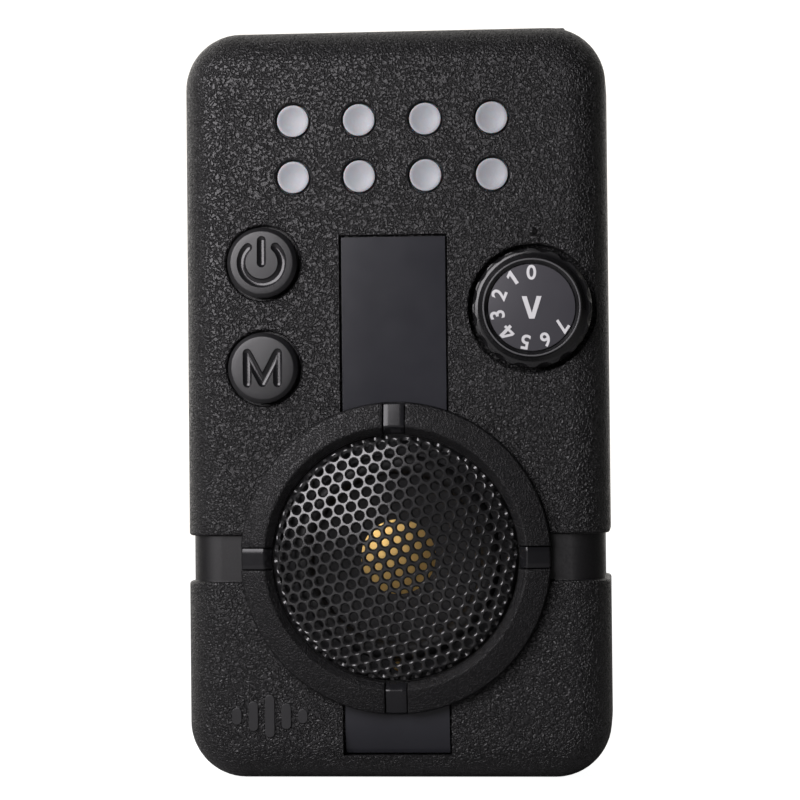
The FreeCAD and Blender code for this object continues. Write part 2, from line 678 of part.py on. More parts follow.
def pot_nut():
    corner = NUT_ACROSS / 2 / math.cos(math.radians(30))
    turns = [math.radians(60 * n) for n in range(6)]
    points = [(DIAL_X + corner * math.cos(turn), DIAL_Z + corner * math.sin(turn)) for turn in turns]
    return plate_from(points, POCKET_FLOOR - 1.2, POCKET_FLOOR).cut(rod_y(DIAL_X, DIAL_Z, 3.5, -15, 0))


# ------------------------------------------------------------------ circuit board
def main_board():
    board = box(-29.3, 29.3, BOARD_Y, BOARD_BACK, 60.5, 112.8)
    for side in (-1, 1):
        x0, x1 = sorted((side * 24.6, side * 35))
        board = board.cut(box(x0, x1, -10, 0, 104.9, 120)).cut(box(x0, x1, -10, 0, 50, 61.2))
    for x, z in BOARD_POSTS:
        board = board.cut(rod_y(x, z, 0.8, BOARD_Y - 1, BOARD_BACK + 1))
    return board


def board_screws():
    screws = []
    for x, z in BOARD_POSTS:
        head = rod_y(x, z, 1.6, BOARD_BACK, BOARD_BACK + 1.0)
        screws.append(join([head, rod_y(x, z, 0.8, BOARD_Y - 4.0, BOARD_BACK)]))
    return Part.makeCompound(screws)


def on_board(x0, x1, z0, z1, height):
    return box(x0, x1, BOARD_BACK, BOARD_BACK + height, z0, z1)


def capacitors():
    return Part.makeCompound([rod_y(x, 101.0, 2.5, BOARD_BACK, BOARD_BACK + 4.6) for x in (-6.5, 0, 6.5)])


def audio_jack():
    body = box(JACK_X - 2.8, JACK_X + 2.8, BOARD_BACK, BOARD_BACK + 5.0, 99.5, 113.4)
    nose = rod_z(JACK_X, JACK_Y, JACK_NOSE_R, 113.0, JACK_TOP_Z)
    return join([body, nose]).cut(rod_z(JACK_X, JACK_Y, JACK_BORE_R, 103.0, JACK_TOP_Z + 1))


def port_flap():
    """The socket's cover, hinged at its left end and standing a little proud of the top."""
    floor = FLAP_PIN_Z - 0.45
    points = [(FLAP_PIN_X, floor), (26.7, floor), (26.95, floor + 0.3), (26.95, 118.4), (26.7, 118.6),
              (22.5, 118.55), (FLAP_PIN_X, FLAP_PIN_Z + 0.65)]
    plate = plate_from(points, FLAP_Y0, FLAP_Y1)
    knuckle = rod_y(FLAP_PIN_X, FLAP_PIN_Z, 0.65, FLAP_Y0, FLAP_Y1)
    bore = rod_y(FLAP_PIN_X, FLAP_PIN_Z, FLAP_PIN_R + 0.04, FLAP_Y0 - 1, FLAP_Y1 + 1)
    return join([plate, knuckle]).cut(bore)


def flap_pin():
    return rod_y(FLAP_PIN_X, FLAP_PIN_Z, FLAP_PIN_R, FLAP_Y0 - 0.9, SPLIT - 0.1)


# ------------------------------------------------------------------ batteries and door
def cell_places():
    """Each cell's x, and whether its positive end is up."""
    return [(-CELL_PITCH, True), (0.0, False), (CELL_PITCH, True)]


def battery(x, positive_up):
    nub = 1.2
    z0 = BAY_Z0 + 0.3 + (SPRING_H if positive_up else 0)
    can_z = z0 if positive_up else z0 + nub
    nub_z = z0 + CELL_L - nub - 0.1 if positive_up else z0
    can = rod_z(x, CELL_Y, CELL_D / 2, can_z, can_z + CELL_L - nub)
    return join([can.makeFillet(0.4, can.Edges), rod_z(x, CELL_Y, 1.9, nub_z, nub_z + nub + 0.1)])


def contact_plates():
    plates = []
    for x, _ in cell_places():
        for z in (BAY_Z0, BAY_Z1 - 0.3):
            plates.append(box(x - 4.2, x + 4.2, CELL_Y - 4.2, CELL_Y + 4.2, z, z + 0.3))
    return Part.makeCompound(plates)


def battery_springs():
    """Each spring as the cone that its wire winds round."""
    springs = []
    for x, positive_up in cell_places():
        z = BAY_Z0 + 0.3 if positive_up else BAY_Z1 - 0.3
        way = 1 if positive_up else -1
        springs.append(Part.makeCone(3.8, 2.2, SPRING_H, V(x, CELL_Y, z), V(0, 0, way)))
    return Part.makeCompound(springs)


def battery_door():
    plate = box(-DOOR_HALF, DOOR_HALF, DOOR_Y, REAR, DOOR_Z0, DOOR_PIN_Z)
    knuckle = rod_x(DOOR_PIN_Y, DOOR_PIN_Z, DOOR_KNUCKLE_R, -DOOR_HALF, DOOR_HALF)
    pins = rod_x(DOOR_PIN_Y, DOOR_PIN_Z, DOOR_PIN_R, -DOOR_HALF - 1.4, DOOR_HALF + 1.4)
    door = join([plate, knuckle, pins])
    for n in range(4):
        z = DOOR_Z0 + 3.0 + 1.6 * n
        door = door.cut(box(-7.0, 7.0, REAR - 0.5, REAR + 1, z, z + 0.8))
    return door


# ------------------------------------------------------------------ wiring
def speaker_wires():
    wires = []
    for n, start_x in enumerate((-2.6, 2.6)):
        lane = -21.6 - 1.3 * n
        z = SPEAKER_Z - 19.1 + 0.9 * n
        y = -8.2 + 0.95 * n
        points = [V(start_x, y, z), V(lane, y, z), V(lane, y, 57.6), V(lane, -3.0, 57.6), V(lane, -3.0, 62.0)]
        wires.append(wire_run(points, 0.4, 1.5))
    return Part.makeCompound(wires)


def battery_wires():
    wires = []
    for x in (-13.0, 13.0):
        points = [V(x, 3.0, BAY_Z1 + TRAY_T), V(x, 3.0, 69.6), V(x, BOARD_BACK, 69.6)]
        wires.append(wire_run(points, 0.4, 2.0))
    return Part.makeCompound(wires)


# ------------------------------------------------------------------ every node
def nodes():
    strip_upper, strip_lower = strip_pieces()
    found = {
        "front_shell": front_shell(),
        "rear_shell": rear_shell(),
        "case_seal": seal_ring(),
        "case_screws": case_screws(),
        "centre_strip_upper": strip_upper,
        "centre_strip_lower": strip_lower,
        "level_mark": level_mark(),
        "speaker_bezel": speaker_bezel(),
        "grille_retainer": grille_retainer(),
        "speaker_grille": speaker_grille(),
        "speaker_gasket": tube(0, SPEAKER_Z, FRAME_R, 18.9, INNER, INNER + 0.5),
        "speaker_frame": speaker_frame(),
        "speaker_surround": speaker_surround(),
        "speaker_cone": speaker_cone(),
        "dust_cap": dust_cap(),
        "voice_coil": voice_coil(),
        "speaker_magnet": speaker_magnet(),
        "terminal_board": terminal_board(),
        "speaker_terminals": speaker_terminals(),
        "speaker_screws": speaker_screws(),
        "led_leads": led_leads(),
        "power_button": button(POWER_Z, power_symbol),
        "mode_button": button(MODE_Z, mode_symbol),
        "power_switch": switch(POWER_Z),
        "mode_switch": switch(MODE_Z),
        "power_plunger": plunger(POWER_Z),
        "mode_plunger": plunger(MODE_Z),
        "volume_knob": volume_knob(),
        "dial_plate": dial_plate(),
        "pot_shaft": pot_shaft(),
        "pot_body": pot_body(),
        "pot_nut": pot_nut(),
        "main_board": main_board(),
        "board_screws": board_screws(),
        "controller_chip": on_board(-1.0, 8.0, 78.0, 87.0, 1.4),
        "amplifier_chip": on_board(-3.0, 3.0, 69.5, 74.5, 1.6),
        "radio_module": on_board(-25.0, -9.0, 78.0, 92.0, 2.4),
        "capacitors": capacitors(),
        "audio_jack": audio_jack(),
        "port_flap": port_flap(),
        "flap_pin": flap_pin(),
        "contact_plates": contact_plates(),
        "battery_springs": battery_springs(),
        "battery_door": battery_door(),
        "speaker_wires": speaker_wires(),
        "battery_wires": battery_wires(),
    }
    for n, (x, z) in enumerate(led_places(), 1):
        found[f"led_{n}"] = led(x, z)
    for n, (x, positive_up) in enumerate(cell_places(), 1):
        found[f"battery_{n}"] = battery(x, positive_up)
    return found


os.makedirs("parts", exist_ok=True)
for name, shape in nodes().items():
    shape.exportStep(f"parts/{name}.step")
    state = "" if shape.isValid() else "  NOT VALID"
    print(f"{name:20s} {len(shape.Solids):2d} solids {shape.Volume:9.1f} mm3{state}")
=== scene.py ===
# %% [markdown]
# # A pocket sound unit: from the design model to a finished picture
#
# The design model arrives first, as a fixed frame: every part of the unit is there, at its real size
# and place, but plain. Each cell below gives one piece its real shape or its real finish. Sizes are
# written in millimetres, because that is how such a unit is drawn, and turned into metres as each
# mesh is made. Places are read from the frame, so that a piece always lands where the design says.

import json
import math

import bmesh
import bpy
from mathutils import Matrix, Vector


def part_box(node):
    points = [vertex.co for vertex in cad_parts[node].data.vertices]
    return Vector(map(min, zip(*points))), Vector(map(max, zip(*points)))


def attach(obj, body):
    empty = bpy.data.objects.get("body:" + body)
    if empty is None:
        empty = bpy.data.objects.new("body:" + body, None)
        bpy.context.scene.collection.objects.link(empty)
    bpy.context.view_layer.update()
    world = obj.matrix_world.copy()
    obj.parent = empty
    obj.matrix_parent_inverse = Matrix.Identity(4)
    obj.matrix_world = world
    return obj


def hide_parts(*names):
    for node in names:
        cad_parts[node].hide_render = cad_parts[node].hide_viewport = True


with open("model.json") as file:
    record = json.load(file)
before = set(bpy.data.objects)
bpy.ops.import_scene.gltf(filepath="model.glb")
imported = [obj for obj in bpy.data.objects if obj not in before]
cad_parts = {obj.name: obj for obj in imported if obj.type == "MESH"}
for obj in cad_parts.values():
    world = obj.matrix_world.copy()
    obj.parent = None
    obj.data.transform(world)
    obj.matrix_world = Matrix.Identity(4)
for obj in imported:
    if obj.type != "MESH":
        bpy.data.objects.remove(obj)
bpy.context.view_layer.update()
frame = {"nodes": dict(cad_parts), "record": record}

# %% [markdown]
# ## Reading places from the frame
#
# A node's box gives its middle and its faces. The front of the unit looks towards -Y, so the low Y
# side of a box is the face that a hand would touch.

# %% Millimetres, boxes and middles
MM = 0.001


def span(node):
    """Lowest and highest corner of a node of the frame, in millimetres."""
    low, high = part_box(node)
    return low / MM, high / MM


def middle(node):
    low, high = span(node)
    return (low + high) / 2


mounts = {mount["name"]: mount for mount in frame["record"]["mounts"]}
REAR_Y = mounts["back"]["pos_m"][1] / MM
FACE_Y = -REAR_Y
TOP_Z = span("front_shell")[1].z
speaker = middle("speaker_grille")
dial = middle("dial_plate")
print(f"face at y {FACE_Y:.1f}, top at z {TOP_Z:.1f}, speaker axis at z {speaker.z:.2f}")

# %% [markdown]
# ## Helpers for mesh work
#
# Most pieces of the unit are turned or flat, so three helpers make nearly all of them: one rounds the
# corners of an outline, one turns an outline into a ring or a disc, and one gives an outline a
# thickness. A shape could also come from ready-made cylinders with a bevel on top, but an outline
# with real corner radii gives cleaner highlights and fewer faces.

# %% Round the corners of an outline
CORNER_STEPS = 4


def eased(points):
    """A closed outline with its corners rounded. A point is (a, b) or (a, b, radius)."""
    outline = []
    for n, point in enumerate(points):
        here = Vector(point[:2])
        if len(point) == 2:
            outline.append(here)
            continue
        radius = point[2]
        back = (Vector(points[n - 1][:2]) - here).normalized()
        ahead = (Vector(points[(n + 1) % len(points)][:2]) - here).normalized()
        half = back.angle(ahead) / 2
        centre = here + (back + ahead).normalized() * radius / math.sin(half)
        first = here + back * radius / math.tan(half) - centre
        last = here + ahead * radius / math.tan(half) - centre
        turn = first.angle_signed(last)
        for k in range(CORNER_STEPS + 1):
            outline.append(centre + Matrix.Rotation(-turn * k / CORNER_STEPS, 2) @ first)
    return [(p[0], p[1]) for p in outline]


# %% Make a piece from points and faces
SHARP = math.radians(32)


def new_object(name, mesh):
    piece = bpy.data.objects.new(name, mesh)
    bpy.context.scene.collection.objects.link(piece)
    return piece


def shade(mesh):
    """Smooth shading with an edge kept sharp wherever the surface really turns."""
    mesh.shade_smooth()
    mesh.set_sharp_from_angle(angle=SHARP)


def turn_outwards(mesh):
    """Turns the faces of a closed mesh outwards."""
    work = bmesh.new()
    work.from_mesh(mesh)
    bmesh.ops.recalc_face_normals(work, faces=work.faces)
    work.to_mesh(mesh)
    work.free()


def bands(loops, size, start=0):
    """Faces that join each loop of points to the next. Every loop has size points."""
    faces = []
    for n in range(loops - 1):
        for k in range(size):
            a, b = start + n * size + k, start + n * size + (k + 1) % size
            faces.append([a, b, b + size, a + size])
    return faces


def solid(name, points, faces):
    """A closed piece from points in millimetres, with its faces turned outwards."""
    mesh = bpy.data.meshes.new(name)
    mesh.from_pydata([Vector(p) * MM for p in points], [], faces)
    turn_outwards(mesh)
    shade(mesh)
    return new_object(name, mesh)


# %% Turn an outline about the Y axis
def turned(name, profile, axis, steps=96, form=None):
    """A piece turned from (radius, y) points. The profile is a loop, or runs from the axis to the axis.
    form(angle, radius, y) may change the radius, for rims that aren't round."""
    points, rings = [], []
    for radius, y in profile:
        if radius < 1e-6:
            rings.append([len(points)] * steps)
            points.append((axis.x, y, axis.z))
            continue
        rings.append(list(range(len(points), len(points) + steps)))
        for k in range(steps):
            angle = 2 * math.pi * k / steps
            r = form(angle, radius, y) if form else radius
            points.append((axis.x + r * math.sin(angle), y, axis.z + r * math.cos(angle)))
    faces = []
    open_ended = profile[0][0] < 1e-6 and profile[-1][0] < 1e-6
    for n in range(len(rings) - open_ended):
        near, far = rings[n], rings[(n + 1) % len(rings)]
        for k in range(steps):
            corners = [near[k], near[(k + 1) % steps], far[(k + 1) % steps], far[k]]
            corners = list(dict.fromkeys(corners))
            if len(corners) > 2:
                faces.append(corners)
    return solid(name, points, faces)


# %% Give an outline a thickness
def slab(name, outline, y0, y1):
    """A flat piece from an (x, z) outline, between two depths."""
    count = len(outline)
    points = [(x, y, z) for y in (y0, y1) for x, z in outline]
    return solid(name, points, [list(range(count)), list(range(count, 2 * count)), *bands(2, count)])


# %% Settle modifiers, carve and join
def settle(piece):
    """Replaces a piece's mesh with the result of its modifiers."""
    view = bpy.context.evaluated_depsgraph_get()
    made = bpy.data.meshes.new_from_object(piece.evaluated_get(view))
    piece.modifiers.clear()
    piece.data = made
    return piece


def discard(piece):
    bpy.data.objects.remove(piece)


def carve(piece, cutter):
    """Takes the cutter's shape out of the piece."""
    cut = piece.modifiers.new("carve", "BOOLEAN")
    cut.operation = "DIFFERENCE"
    cut.solver = "EXACT"
    cut.object = cutter
    settle(piece)
    discard(cutter)
    return piece


EASE_STEPS = 2
EASE_ANGLE = math.radians(40)


def ease_edges(piece, width):
    """Breaks every sharp edge by a small round, as a mould or a tumbler does."""
    bevel = piece.modifiers.new("ease", "BEVEL")
    bevel.width = width * MM
    bevel.segments = EASE_STEPS
    bevel.limit_method = "ANGLE"
    bevel.angle_limit = EASE_ANGLE
    bevel.use_clamp_overlap = False
    settle(piece)
    shade(piece.data)
    return piece


def merged(name, pieces):
    """One piece made of several, each keeping its own material."""
    work = bmesh.new()
    materials = []
    for piece in pieces:
        start = len(work.faces)
        work.from_mesh(piece.data)
        work.faces.ensure_lookup_table()
        for material in piece.data.materials:
            if material not in materials:
                materials.append(material)
        for face in work.faces[start:]:
            if piece.data.materials:
                face.material_index = materials.index(piece.data.materials[face.material_index])
    mesh = bpy.data.meshes.new(name)
    work.to_mesh(mesh)
    work.free()
    for material in materials:
        mesh.materials.append(material)
    for piece in pieces:
        discard(piece)
    return new_object(name, mesh)


# %% Take a clean copy of a node of the frame
FLAT = math.radians(0.4)


def clean_copy(name, node):
    """A copy of a node, with its loose triangles merged and its flat faces made whole."""
    work = bmesh.new()
    work.from_mesh(frame["nodes"][node].data)
    bmesh.ops.remove_doubles(work, verts=work.verts, dist=0.0005 * MM)
    bmesh.ops.dissolve_limit(work, angle_limit=FLAT, verts=work.verts, edges=work.edges)
    mesh = bpy.data.meshes.new(name)
    work.to_mesh(mesh)
    work.free()
    shade(mesh)
    return new_object(name, mesh)


def even_shading(piece):
    """Lets the large faces set the shading, so that flat walls stay flat beside their rounds."""
    weigh = piece.modifiers.new("even", "WEIGHTED_NORMAL")
    weigh.keep_sharp = True
    return settle(piece)


# %% Put a finished piece in its place
def dress(piece, *materials):
    """Gives a piece these materials and no others."""
    piece.data.materials.clear()
    for material in materials:
        piece.data.materials.append(material)


def fit(piece, body, slot, material, *nodes):
    """Gives a piece its finish and its body, and hides the nodes that it stands for. Without a
    material it keeps those that it has. The slot is not used."""
    if material is not None:
        dress(piece, material)
    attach(piece, body)
    if nodes:
        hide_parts(*nodes)
    print(f"{piece.name}: {len(piece.data.polygons)} faces on {body}")
    return piece


# %% [markdown]
# ## Numbers that flow through nodes
#
# Materials and Geometry Nodes both work by feeding numbers from node to node. Placing each Math node
# by hand makes a formula hard to read, so a small class lets an ordinary formula such as `a * b + c`
# add the nodes itself.

# %% A number inside a node tree
def feed(tree, socket, value):
    """Links a value into a socket, or sets the socket's own value."""
    if isinstance(value, Number):
        value = value.socket
    if isinstance(value, bpy.types.NodeSocket):
        tree.links.new(value, socket)
    else:
        socket.default_value = value


def add_node(tree, kind, inputs=(), **settings):
    """Adds a node, with its settings and with values or links in its inputs."""
    made = tree.nodes.new(kind)
    for key, value in settings.items():
        setattr(made, key, value)
    for socket, value in dict(inputs).items():
        feed(tree, made.inputs[socket], value)
    return made


class Number:
    """A number in a node tree. Arithmetic on it adds Math nodes."""

    def __init__(self, tree, socket):
        self.tree = tree
        self.socket = socket

    def math(self, operation, *others):
        node = self.tree.nodes.new("ShaderNodeMath")
        node.operation = operation
        for socket, value in zip(node.inputs, (self, *others)):
            feed(self.tree, socket, value)
        return Number(self.tree, node.outputs[0])

    def __add__(self, other):
        return self.math("ADD", other)

    def __sub__(self, other):
        return self.math("SUBTRACT", other)

    def __mul__(self, other):
        return self.math("MULTIPLY", other)

    def __truediv__(self, other):
        return self.math("DIVIDE", other)

    def step(self, low, high):
        """0 below low, 1 above high, and smooth between them."""
        node = self.tree.nodes.new("ShaderNodeMapRange")
        node.interpolation_type = "SMOOTHSTEP"
        for name, value in (("Value", self), ("From Min", low), ("From Max", high)):
            feed(self.tree, node.inputs[name], value)
        return Number(self.tree, node.outputs["Result"])

    def between(self, low, high):
        return self * (high - low) + low


# %% [markdown]
# ## A finish
#
# Every finish is one Principled shader with a few textures feeding it. The textures read Object
# coordinates, turned into millimetres, so a grain of 0.4 mm is written as 0.4 and stays the same size
# on every piece. A value that is the same all over is set on the shader itself.

# %% One procedural material
class Finish:
    """A Principled shader and the textures that drive it, all in millimetres."""

    def __init__(self, name, colour, roughness, **settings):
        self.material = bpy.data.materials.new(name)
        self.material.use_nodes = True
        self.material.diffuse_color = (*colour, 1)
        self.tree = self.material.node_tree
        self.shader = self.tree.nodes["Principled BSDF"]
        self.set("Base Color", (*colour, 1))
        self.set("Roughness", roughness)
        for socket, value in settings.items():
            self.set(socket.replace("_", " "), value)
        place = self.tree.nodes.new("ShaderNodeTexCoord")
        self.place = self.vector("MULTIPLY", place.outputs["Object"], (1 / MM,) * 3)

    def set(self, socket, value):
        feed(self.tree, self.shader.inputs[socket], value)

    def node(self, kind, inputs=(), **settings):
        return add_node(self.tree, kind, inputs, **settings)

    def vector(self, operation, *values):
        made = self.node("ShaderNodeVectorMath", operation=operation)
        for socket, value in zip(made.inputs, values):
            feed(self.tree, socket, value)
        return made.outputs[0]

    def axis(self, letter):
        """One coordinate of the point, in millimetres."""
        parts = self.node("ShaderNodeSeparateXYZ", {"Vector": self.place})
        return Number(self.tree, parts.outputs[letter])

    def noise(self, size, detail, place=None):
        """Soft cloudy noise whose blobs are about size millimetres across."""
        made = self.node("ShaderNodeTexNoise", {"Vector": place or self.place, "Scale": 1 / size,
                                                "Detail": detail})
        return Number(self.tree, made.outputs["Fac"])

    def cells(self, size, place):
        """Distance from the middles of scattered cells about size millimetres across, smoothed."""
        made = self.node("ShaderNodeTexVoronoi", {"Vector": place, "Scale": 1 / size}, feature="SMOOTH_F1")
        return Number(self.tree, made.outputs["Distance"])

    def warped(self, size, reach):
        """The point, pushed about by noise, which bends any pattern that reads it."""
        cloud = self.node("ShaderNodeTexNoise", {"Vector": self.place, "Scale": 1 / size, "Detail": 1.0})
        push = self.vector("SUBTRACT", cloud.outputs["Color"], (0.5, 0.5, 0.5))
        return self.vector("ADD", self.place, self.vector("MULTIPLY", push, (reach,) * 3))

    def relief(self, height, depth):
        """Raises the surface by up to depth millimetres where height is 1."""
        bump = self.node("ShaderNodeBump", {"Height": height, "Distance": depth * MM, "Strength": 1.0})
        self.set("Normal", bump.outputs["Normal"])

    def tint(self, share, low, high):
        """Colour that runs from low to high as share runs from 0 to 1."""
        made = self.node("ShaderNodeMix", data_type="RGBA")
        for socket, value in zip((made.inputs[0], made.inputs[6], made.inputs[7]),
                                 (share, (*low, 1), (*high, 1))):
            feed(self.tree, socket, value)
        self.set("Base Color", made.outputs[2])


slot_colour = {entry["slot"]: tuple(entry["base_color"]) for entry in frame["record"]["materials"]}


def shaded(colour, share):
    return tuple(c * share for c in colour)


# %% [markdown]
# ## Textured case plastic
#
# The case is black moulded plastic. Its mould was etched, which leaves short, worm-like ridges a
# third of a millimetre wide. An image could carry that grain, but a procedural one has no seams and
# wraps the rounded edges by itself. The valleys follow the lines where a bent cloud of noise crosses
# its middle value, and scattered cells and a finer noise make the tops uneven. One band round the
# sides was left polished in the mould, so the relief fades out there.

# %% Case finish
GROOVE_HALF = 3.7
GROOVE_REAR_X = 22.0


def grained_plastic(name, colour, ridge, depth, roughness, gloss, polished_band=False):
    finish = Finish(name, colour, roughness, Specular_IOR_Level=gloss)
    bent = finish.warped(ridge * 1.4, ridge * 1.5)
    lumps = finish.cells(ridge * 2.2, bent)
    crease = (finish.noise(ridge * 1.5, 1.0, bent) - 0.5).math("ABSOLUTE") * 7.0
    crease = crease.math("MINIMUM", 1.0).math("POWER", 0.6)
    fine = finish.noise(ridge * 0.5, 2.0)
    height = crease * 0.7 - lumps * 0.1 + fine * 0.12
    # Painted shade: the colour is darkest along the creases and lighter on the tops, as shade in the valleys
    # would make it.
    finish.tint(finish.noise(6.0, 3.0) * 0.3 + crease * 0.7, shaded(colour, 0.1), shaded(colour, 0.75))
    rough = crease.between(roughness + 0.2, roughness - 0.02)
    if polished_band:
        level = (finish.axis("Z") - speaker.z).math("ABSOLUTE")
        wide = finish.axis("X").math("ABSOLUTE").math("LESS_THAN", GROOVE_REAR_X)
        back = wide * finish.axis("Y").math("GREATER_THAN", 0.0)
        grained = (level.step(GROOVE_HALF - 0.15, GROOVE_HALF + 0.1)).math("MAXIMUM", back)
        height = height * grained
    finish.set("Roughness", rough)
    finish.relief(height, depth)
    return finish.material


case_plastic = grained_plastic("etched_case_plastic", slot_colour["case_black"], ridge=0.38, depth=0.27,
                               roughness=0.38, gloss=0.45, polished_band=True)
bezel_plastic = grained_plastic("etched_bezel_plastic", slot_colour["bezel_black"], ridge=0.26, depth=0.1,
                                roughness=0.38, gloss=0.25)
print("grain:", case_plastic.name, bezel_plastic.name)

# %% [markdown]
# ## Smooth plastics and rubber
#
# The strip, the keys, the buttons and the knob come from finer moulds. They aren't mirrors: a faint
# orange-peel and a little change in gloss keep a large smooth face from looking like glass.

# %% Smooth moulded finishes
RIPPLE = 0.004
RIPPLE_SIZE = 0.9
GRIT_SIZE = 0.16


def smooth_plastic(name, colour, roughness, grit=0.0, **settings):
    finish = Finish(name, colour, roughness, **settings)
    cloud = finish.noise(9.0, 3.0)
    finish.tint(cloud, shaded(colour, 0.6), shaded(colour, 0.85))
    finish.set("Roughness", finish.noise(3.0, 4.0).between(roughness - 0.05, roughness + 0.05))
    height = finish.noise(RIPPLE_SIZE, 1.0)
    if grit:
        height = height + finish.noise(GRIT_SIZE, 2.0) * (grit / RIPPLE)
    finish.relief(height, RIPPLE)
    return finish.material


strip_plastic = smooth_plastic("slate_strip_plastic", shaded(slot_colour["strip_slate"], 1.35), 0.2,
                               Specular_IOR_Level=0.3)
mark_plastic = smooth_plastic("raised_mark_plastic", slot_colour["mark_grey"], 0.35)
key_plastic = smooth_plastic("smooth_key_plastic", slot_colour["key_black"], 0.22, Specular_IOR_Level=0.35)
button_plastic = smooth_plastic("fine_button_plastic", slot_colour["button_black"], 0.38, grit=0.012)
symbol_plastic = smooth_plastic("polished_symbol_plastic", slot_colour["button_black"], 0.2)
knob_plastic = smooth_plastic("satin_knob_plastic", slot_colour["knob_black"], 0.27)
# A lighter grey for the raised front lip of the knob.
lip_grey_plastic = smooth_plastic("lighter_grey_lip_plastic", (0.1, 0.1, 0.104), 0.3)
plate_plastic = smooth_plastic("dial_plate_plastic", shaded(slot_colour["plate_grey"], 1.4), 0.35,
                               grit=0.004, Specular_IOR_Level=0.2)
figure_white = smooth_plastic("printed_white", (0.72, 0.72, 0.73), 0.5)
rubber = smooth_plastic("soft_black_rubber", slot_colour["rubber_black"], 0.55, grit=0.006)
chip_plastic = smooth_plastic("chip_package", slot_colour["chip_black"], 0.55, grit=0.01)
wire_sleeve = smooth_plastic("wire_sleeve", slot_colour["wire_red"], 0.4)
print("smooth finishes made")

# %% [markdown]
# ## Lamps, metals and the rest
#
# A frosted lamp scatters light inside it, so it gets some subsurface light as well as a rough skin.
# Metals keep their colour in the reflection and differ by how they were worked: plated steel is
# smooth, drawn cans show fine lines along their length, and brass is pressed bright.

# %% Lamp, metal, paper, foam and board finishes
def frosted(name, colour):
    finish = Finish(name, colour, 0.42, Subsurface_Weight=0.35, Subsurface_Scale=0.0012)
    finish.tint(finish.noise(1.6, 3.0), shaded(colour, 0.88), shaded(colour, 1.1))
    finish.relief(finish.noise(0.22, 2.0), 0.012)
    return finish.material


def worked_metal(name, colour, roughness, scratch=(0.12, 0.12, 0.12), depth=0.002):
    """scratch is the size of the working marks along x, y and z."""
    finish = Finish(name, colour, roughness, Metallic=1.0)
    stretched = finish.vector("DIVIDE", finish.place, scratch)
    marks = finish.noise(1.0, 3.0, stretched)
    finish.tint(finish.noise(2.5, 3.0), shaded(colour, 0.8), shaded(colour, 1.1))
    finish.set("Roughness", marks.between(roughness - 0.08, roughness + 0.08))
    finish.relief(marks, depth)
    return finish.material


def fibrous(name, colour, size, depth, roughness=0.8):
    finish = Finish(name, colour, roughness)
    threads = finish.noise(size, 4.0, finish.vector("MULTIPLY", finish.place, (1.0, 3.0, 1.0)))
    finish.tint(threads, shaded(colour, 0.6), shaded(colour, 1.4))
    finish.relief(threads, depth)
    return finish.material


def circuit_board(name, colour):
    """Solder mask over copper: thin raised tracks in straight runs."""
    finish = Finish(name, colour, 0.3)
    across = (finish.axis("X") * 1.6).math("FRACT").step(0.30, 0.38)
    runs = finish.noise(5.0, 1.0, finish.vector("MULTIPLY", finish.place, (1.0, 1.0, 0.2)))
    tracks = across * runs.step(0.5, 0.54)
    finish.tint(tracks, colour, shaded(colour, 1.7))
    finish.relief(tracks, 0.03)
    return finish.material


lamp_frost = frosted("frosted_lamp", slot_colour["lamp_frost"])
brass = worked_metal("pressed_brass", (1.0, 0.7, 0.26), 0.55)
copper = worked_metal("copper_winding", slot_colour["coil_copper"], 0.35, (5.0, 0.2, 5.0), 0.03)
steel = worked_metal("plated_steel", slot_colour["steel"], 0.3)
frame_steel = worked_metal("black_pressed_steel", slot_colour["frame_steel"], 0.42)
ferrite = fibrous("sintered_ferrite", slot_colour["magnet_grey"], 0.3, 0.02, 0.6)
can_metal = worked_metal("drawn_can", slot_colour["can_silver"], 0.28, (0.1, 0.1, 2.0))
cone_paper = fibrous("pressed_paper", slot_colour["cone_paper"], 0.3, 0.04)
foam = fibrous("closed_foam", slot_colour["foam_grey"], 0.35, 0.08)
board_green = circuit_board("green_solder_mask", slot_colour["board_green"])
board_brown = fibrous("phenolic_board", slot_colour["board_brown"], 0.5, 0.01, 0.5)
print("metals, paper and boards made")

# %% [markdown]
# ## Painted grille
#
# The grille is pressed steel under a gloss coat. Paint pulls back a little from each punched edge, so
# the coat is a separate, smoother layer over a slightly rougher one.

# %% Grille finish
def stove_enamel(name, colour):
    finish = Finish(name, colour, 0.3, Coat_Weight=1.0, Coat_Roughness=0.2, Specular_IOR_Level=0.25)
    finish.tint(finish.noise(4.0, 2.0), shaded(colour, 0.8), shaded(colour, 1.2))
    finish.set("Roughness", finish.noise(0.8, 3.0).between(0.24, 0.36))
    finish.relief(finish.noise(0.5, 2.0), 0.006)
    return finish.material


enamel = stove_enamel("gloss_black_enamel", slot_colour["grille_black"])

# %% [markdown]
# ## Cell sleeves
#
# Each cell is a steel can in a printed sleeve. The sleeve has two tones and no lettering: a dark
# body and a bright band towards the positive end.

# %% Cell sleeve finish
def cell_sleeve(name, colour, band_from, band_to):
    finish = Finish(name, colour, 0.3, Metallic=0.85)
    height = finish.axis("Z")
    band = height.math("GREATER_THAN", band_from) * height.math("LESS_THAN", band_to)
    finish.tint(band, colour, (0.62, 0.34, 0.12))
    finish.set("Roughness", finish.noise(1.5, 3.0).between(0.22, 0.36))
    finish.relief(finish.noise(0.3, 2.0), 0.003)
    return finish.material


print("sleeves are made with their cells")

# %% [markdown]
# ## Shells, door and flap
#
# These are moulded boxes with pockets, and the design model already has their true form. Rebuilding
# them would only risk a pocket in the wrong place. A copy is merged, its mould edges are broken by a
# tenth of a millimetre so that they catch the light, and its shading is evened out.

# %% Case parts
EDGE_BREAK = 0.1


def moulded(name, node, body, slot, material, width=EDGE_BREAK):
    piece = even_shading(ease_edges(clean_copy(name, node), width))
    return fit(piece, body, slot, material, node)


moulded("front_case", "front_shell", "case", "case_black", case_plastic)
moulded("rear_case", "rear_shell", "case", "case_black", case_plastic)
moulded("door_panel", "battery_door", "door", "case_black", case_plastic)
moulded("socket_cover", "port_flap", "flap", "rubber_black", rubber, 0.06)

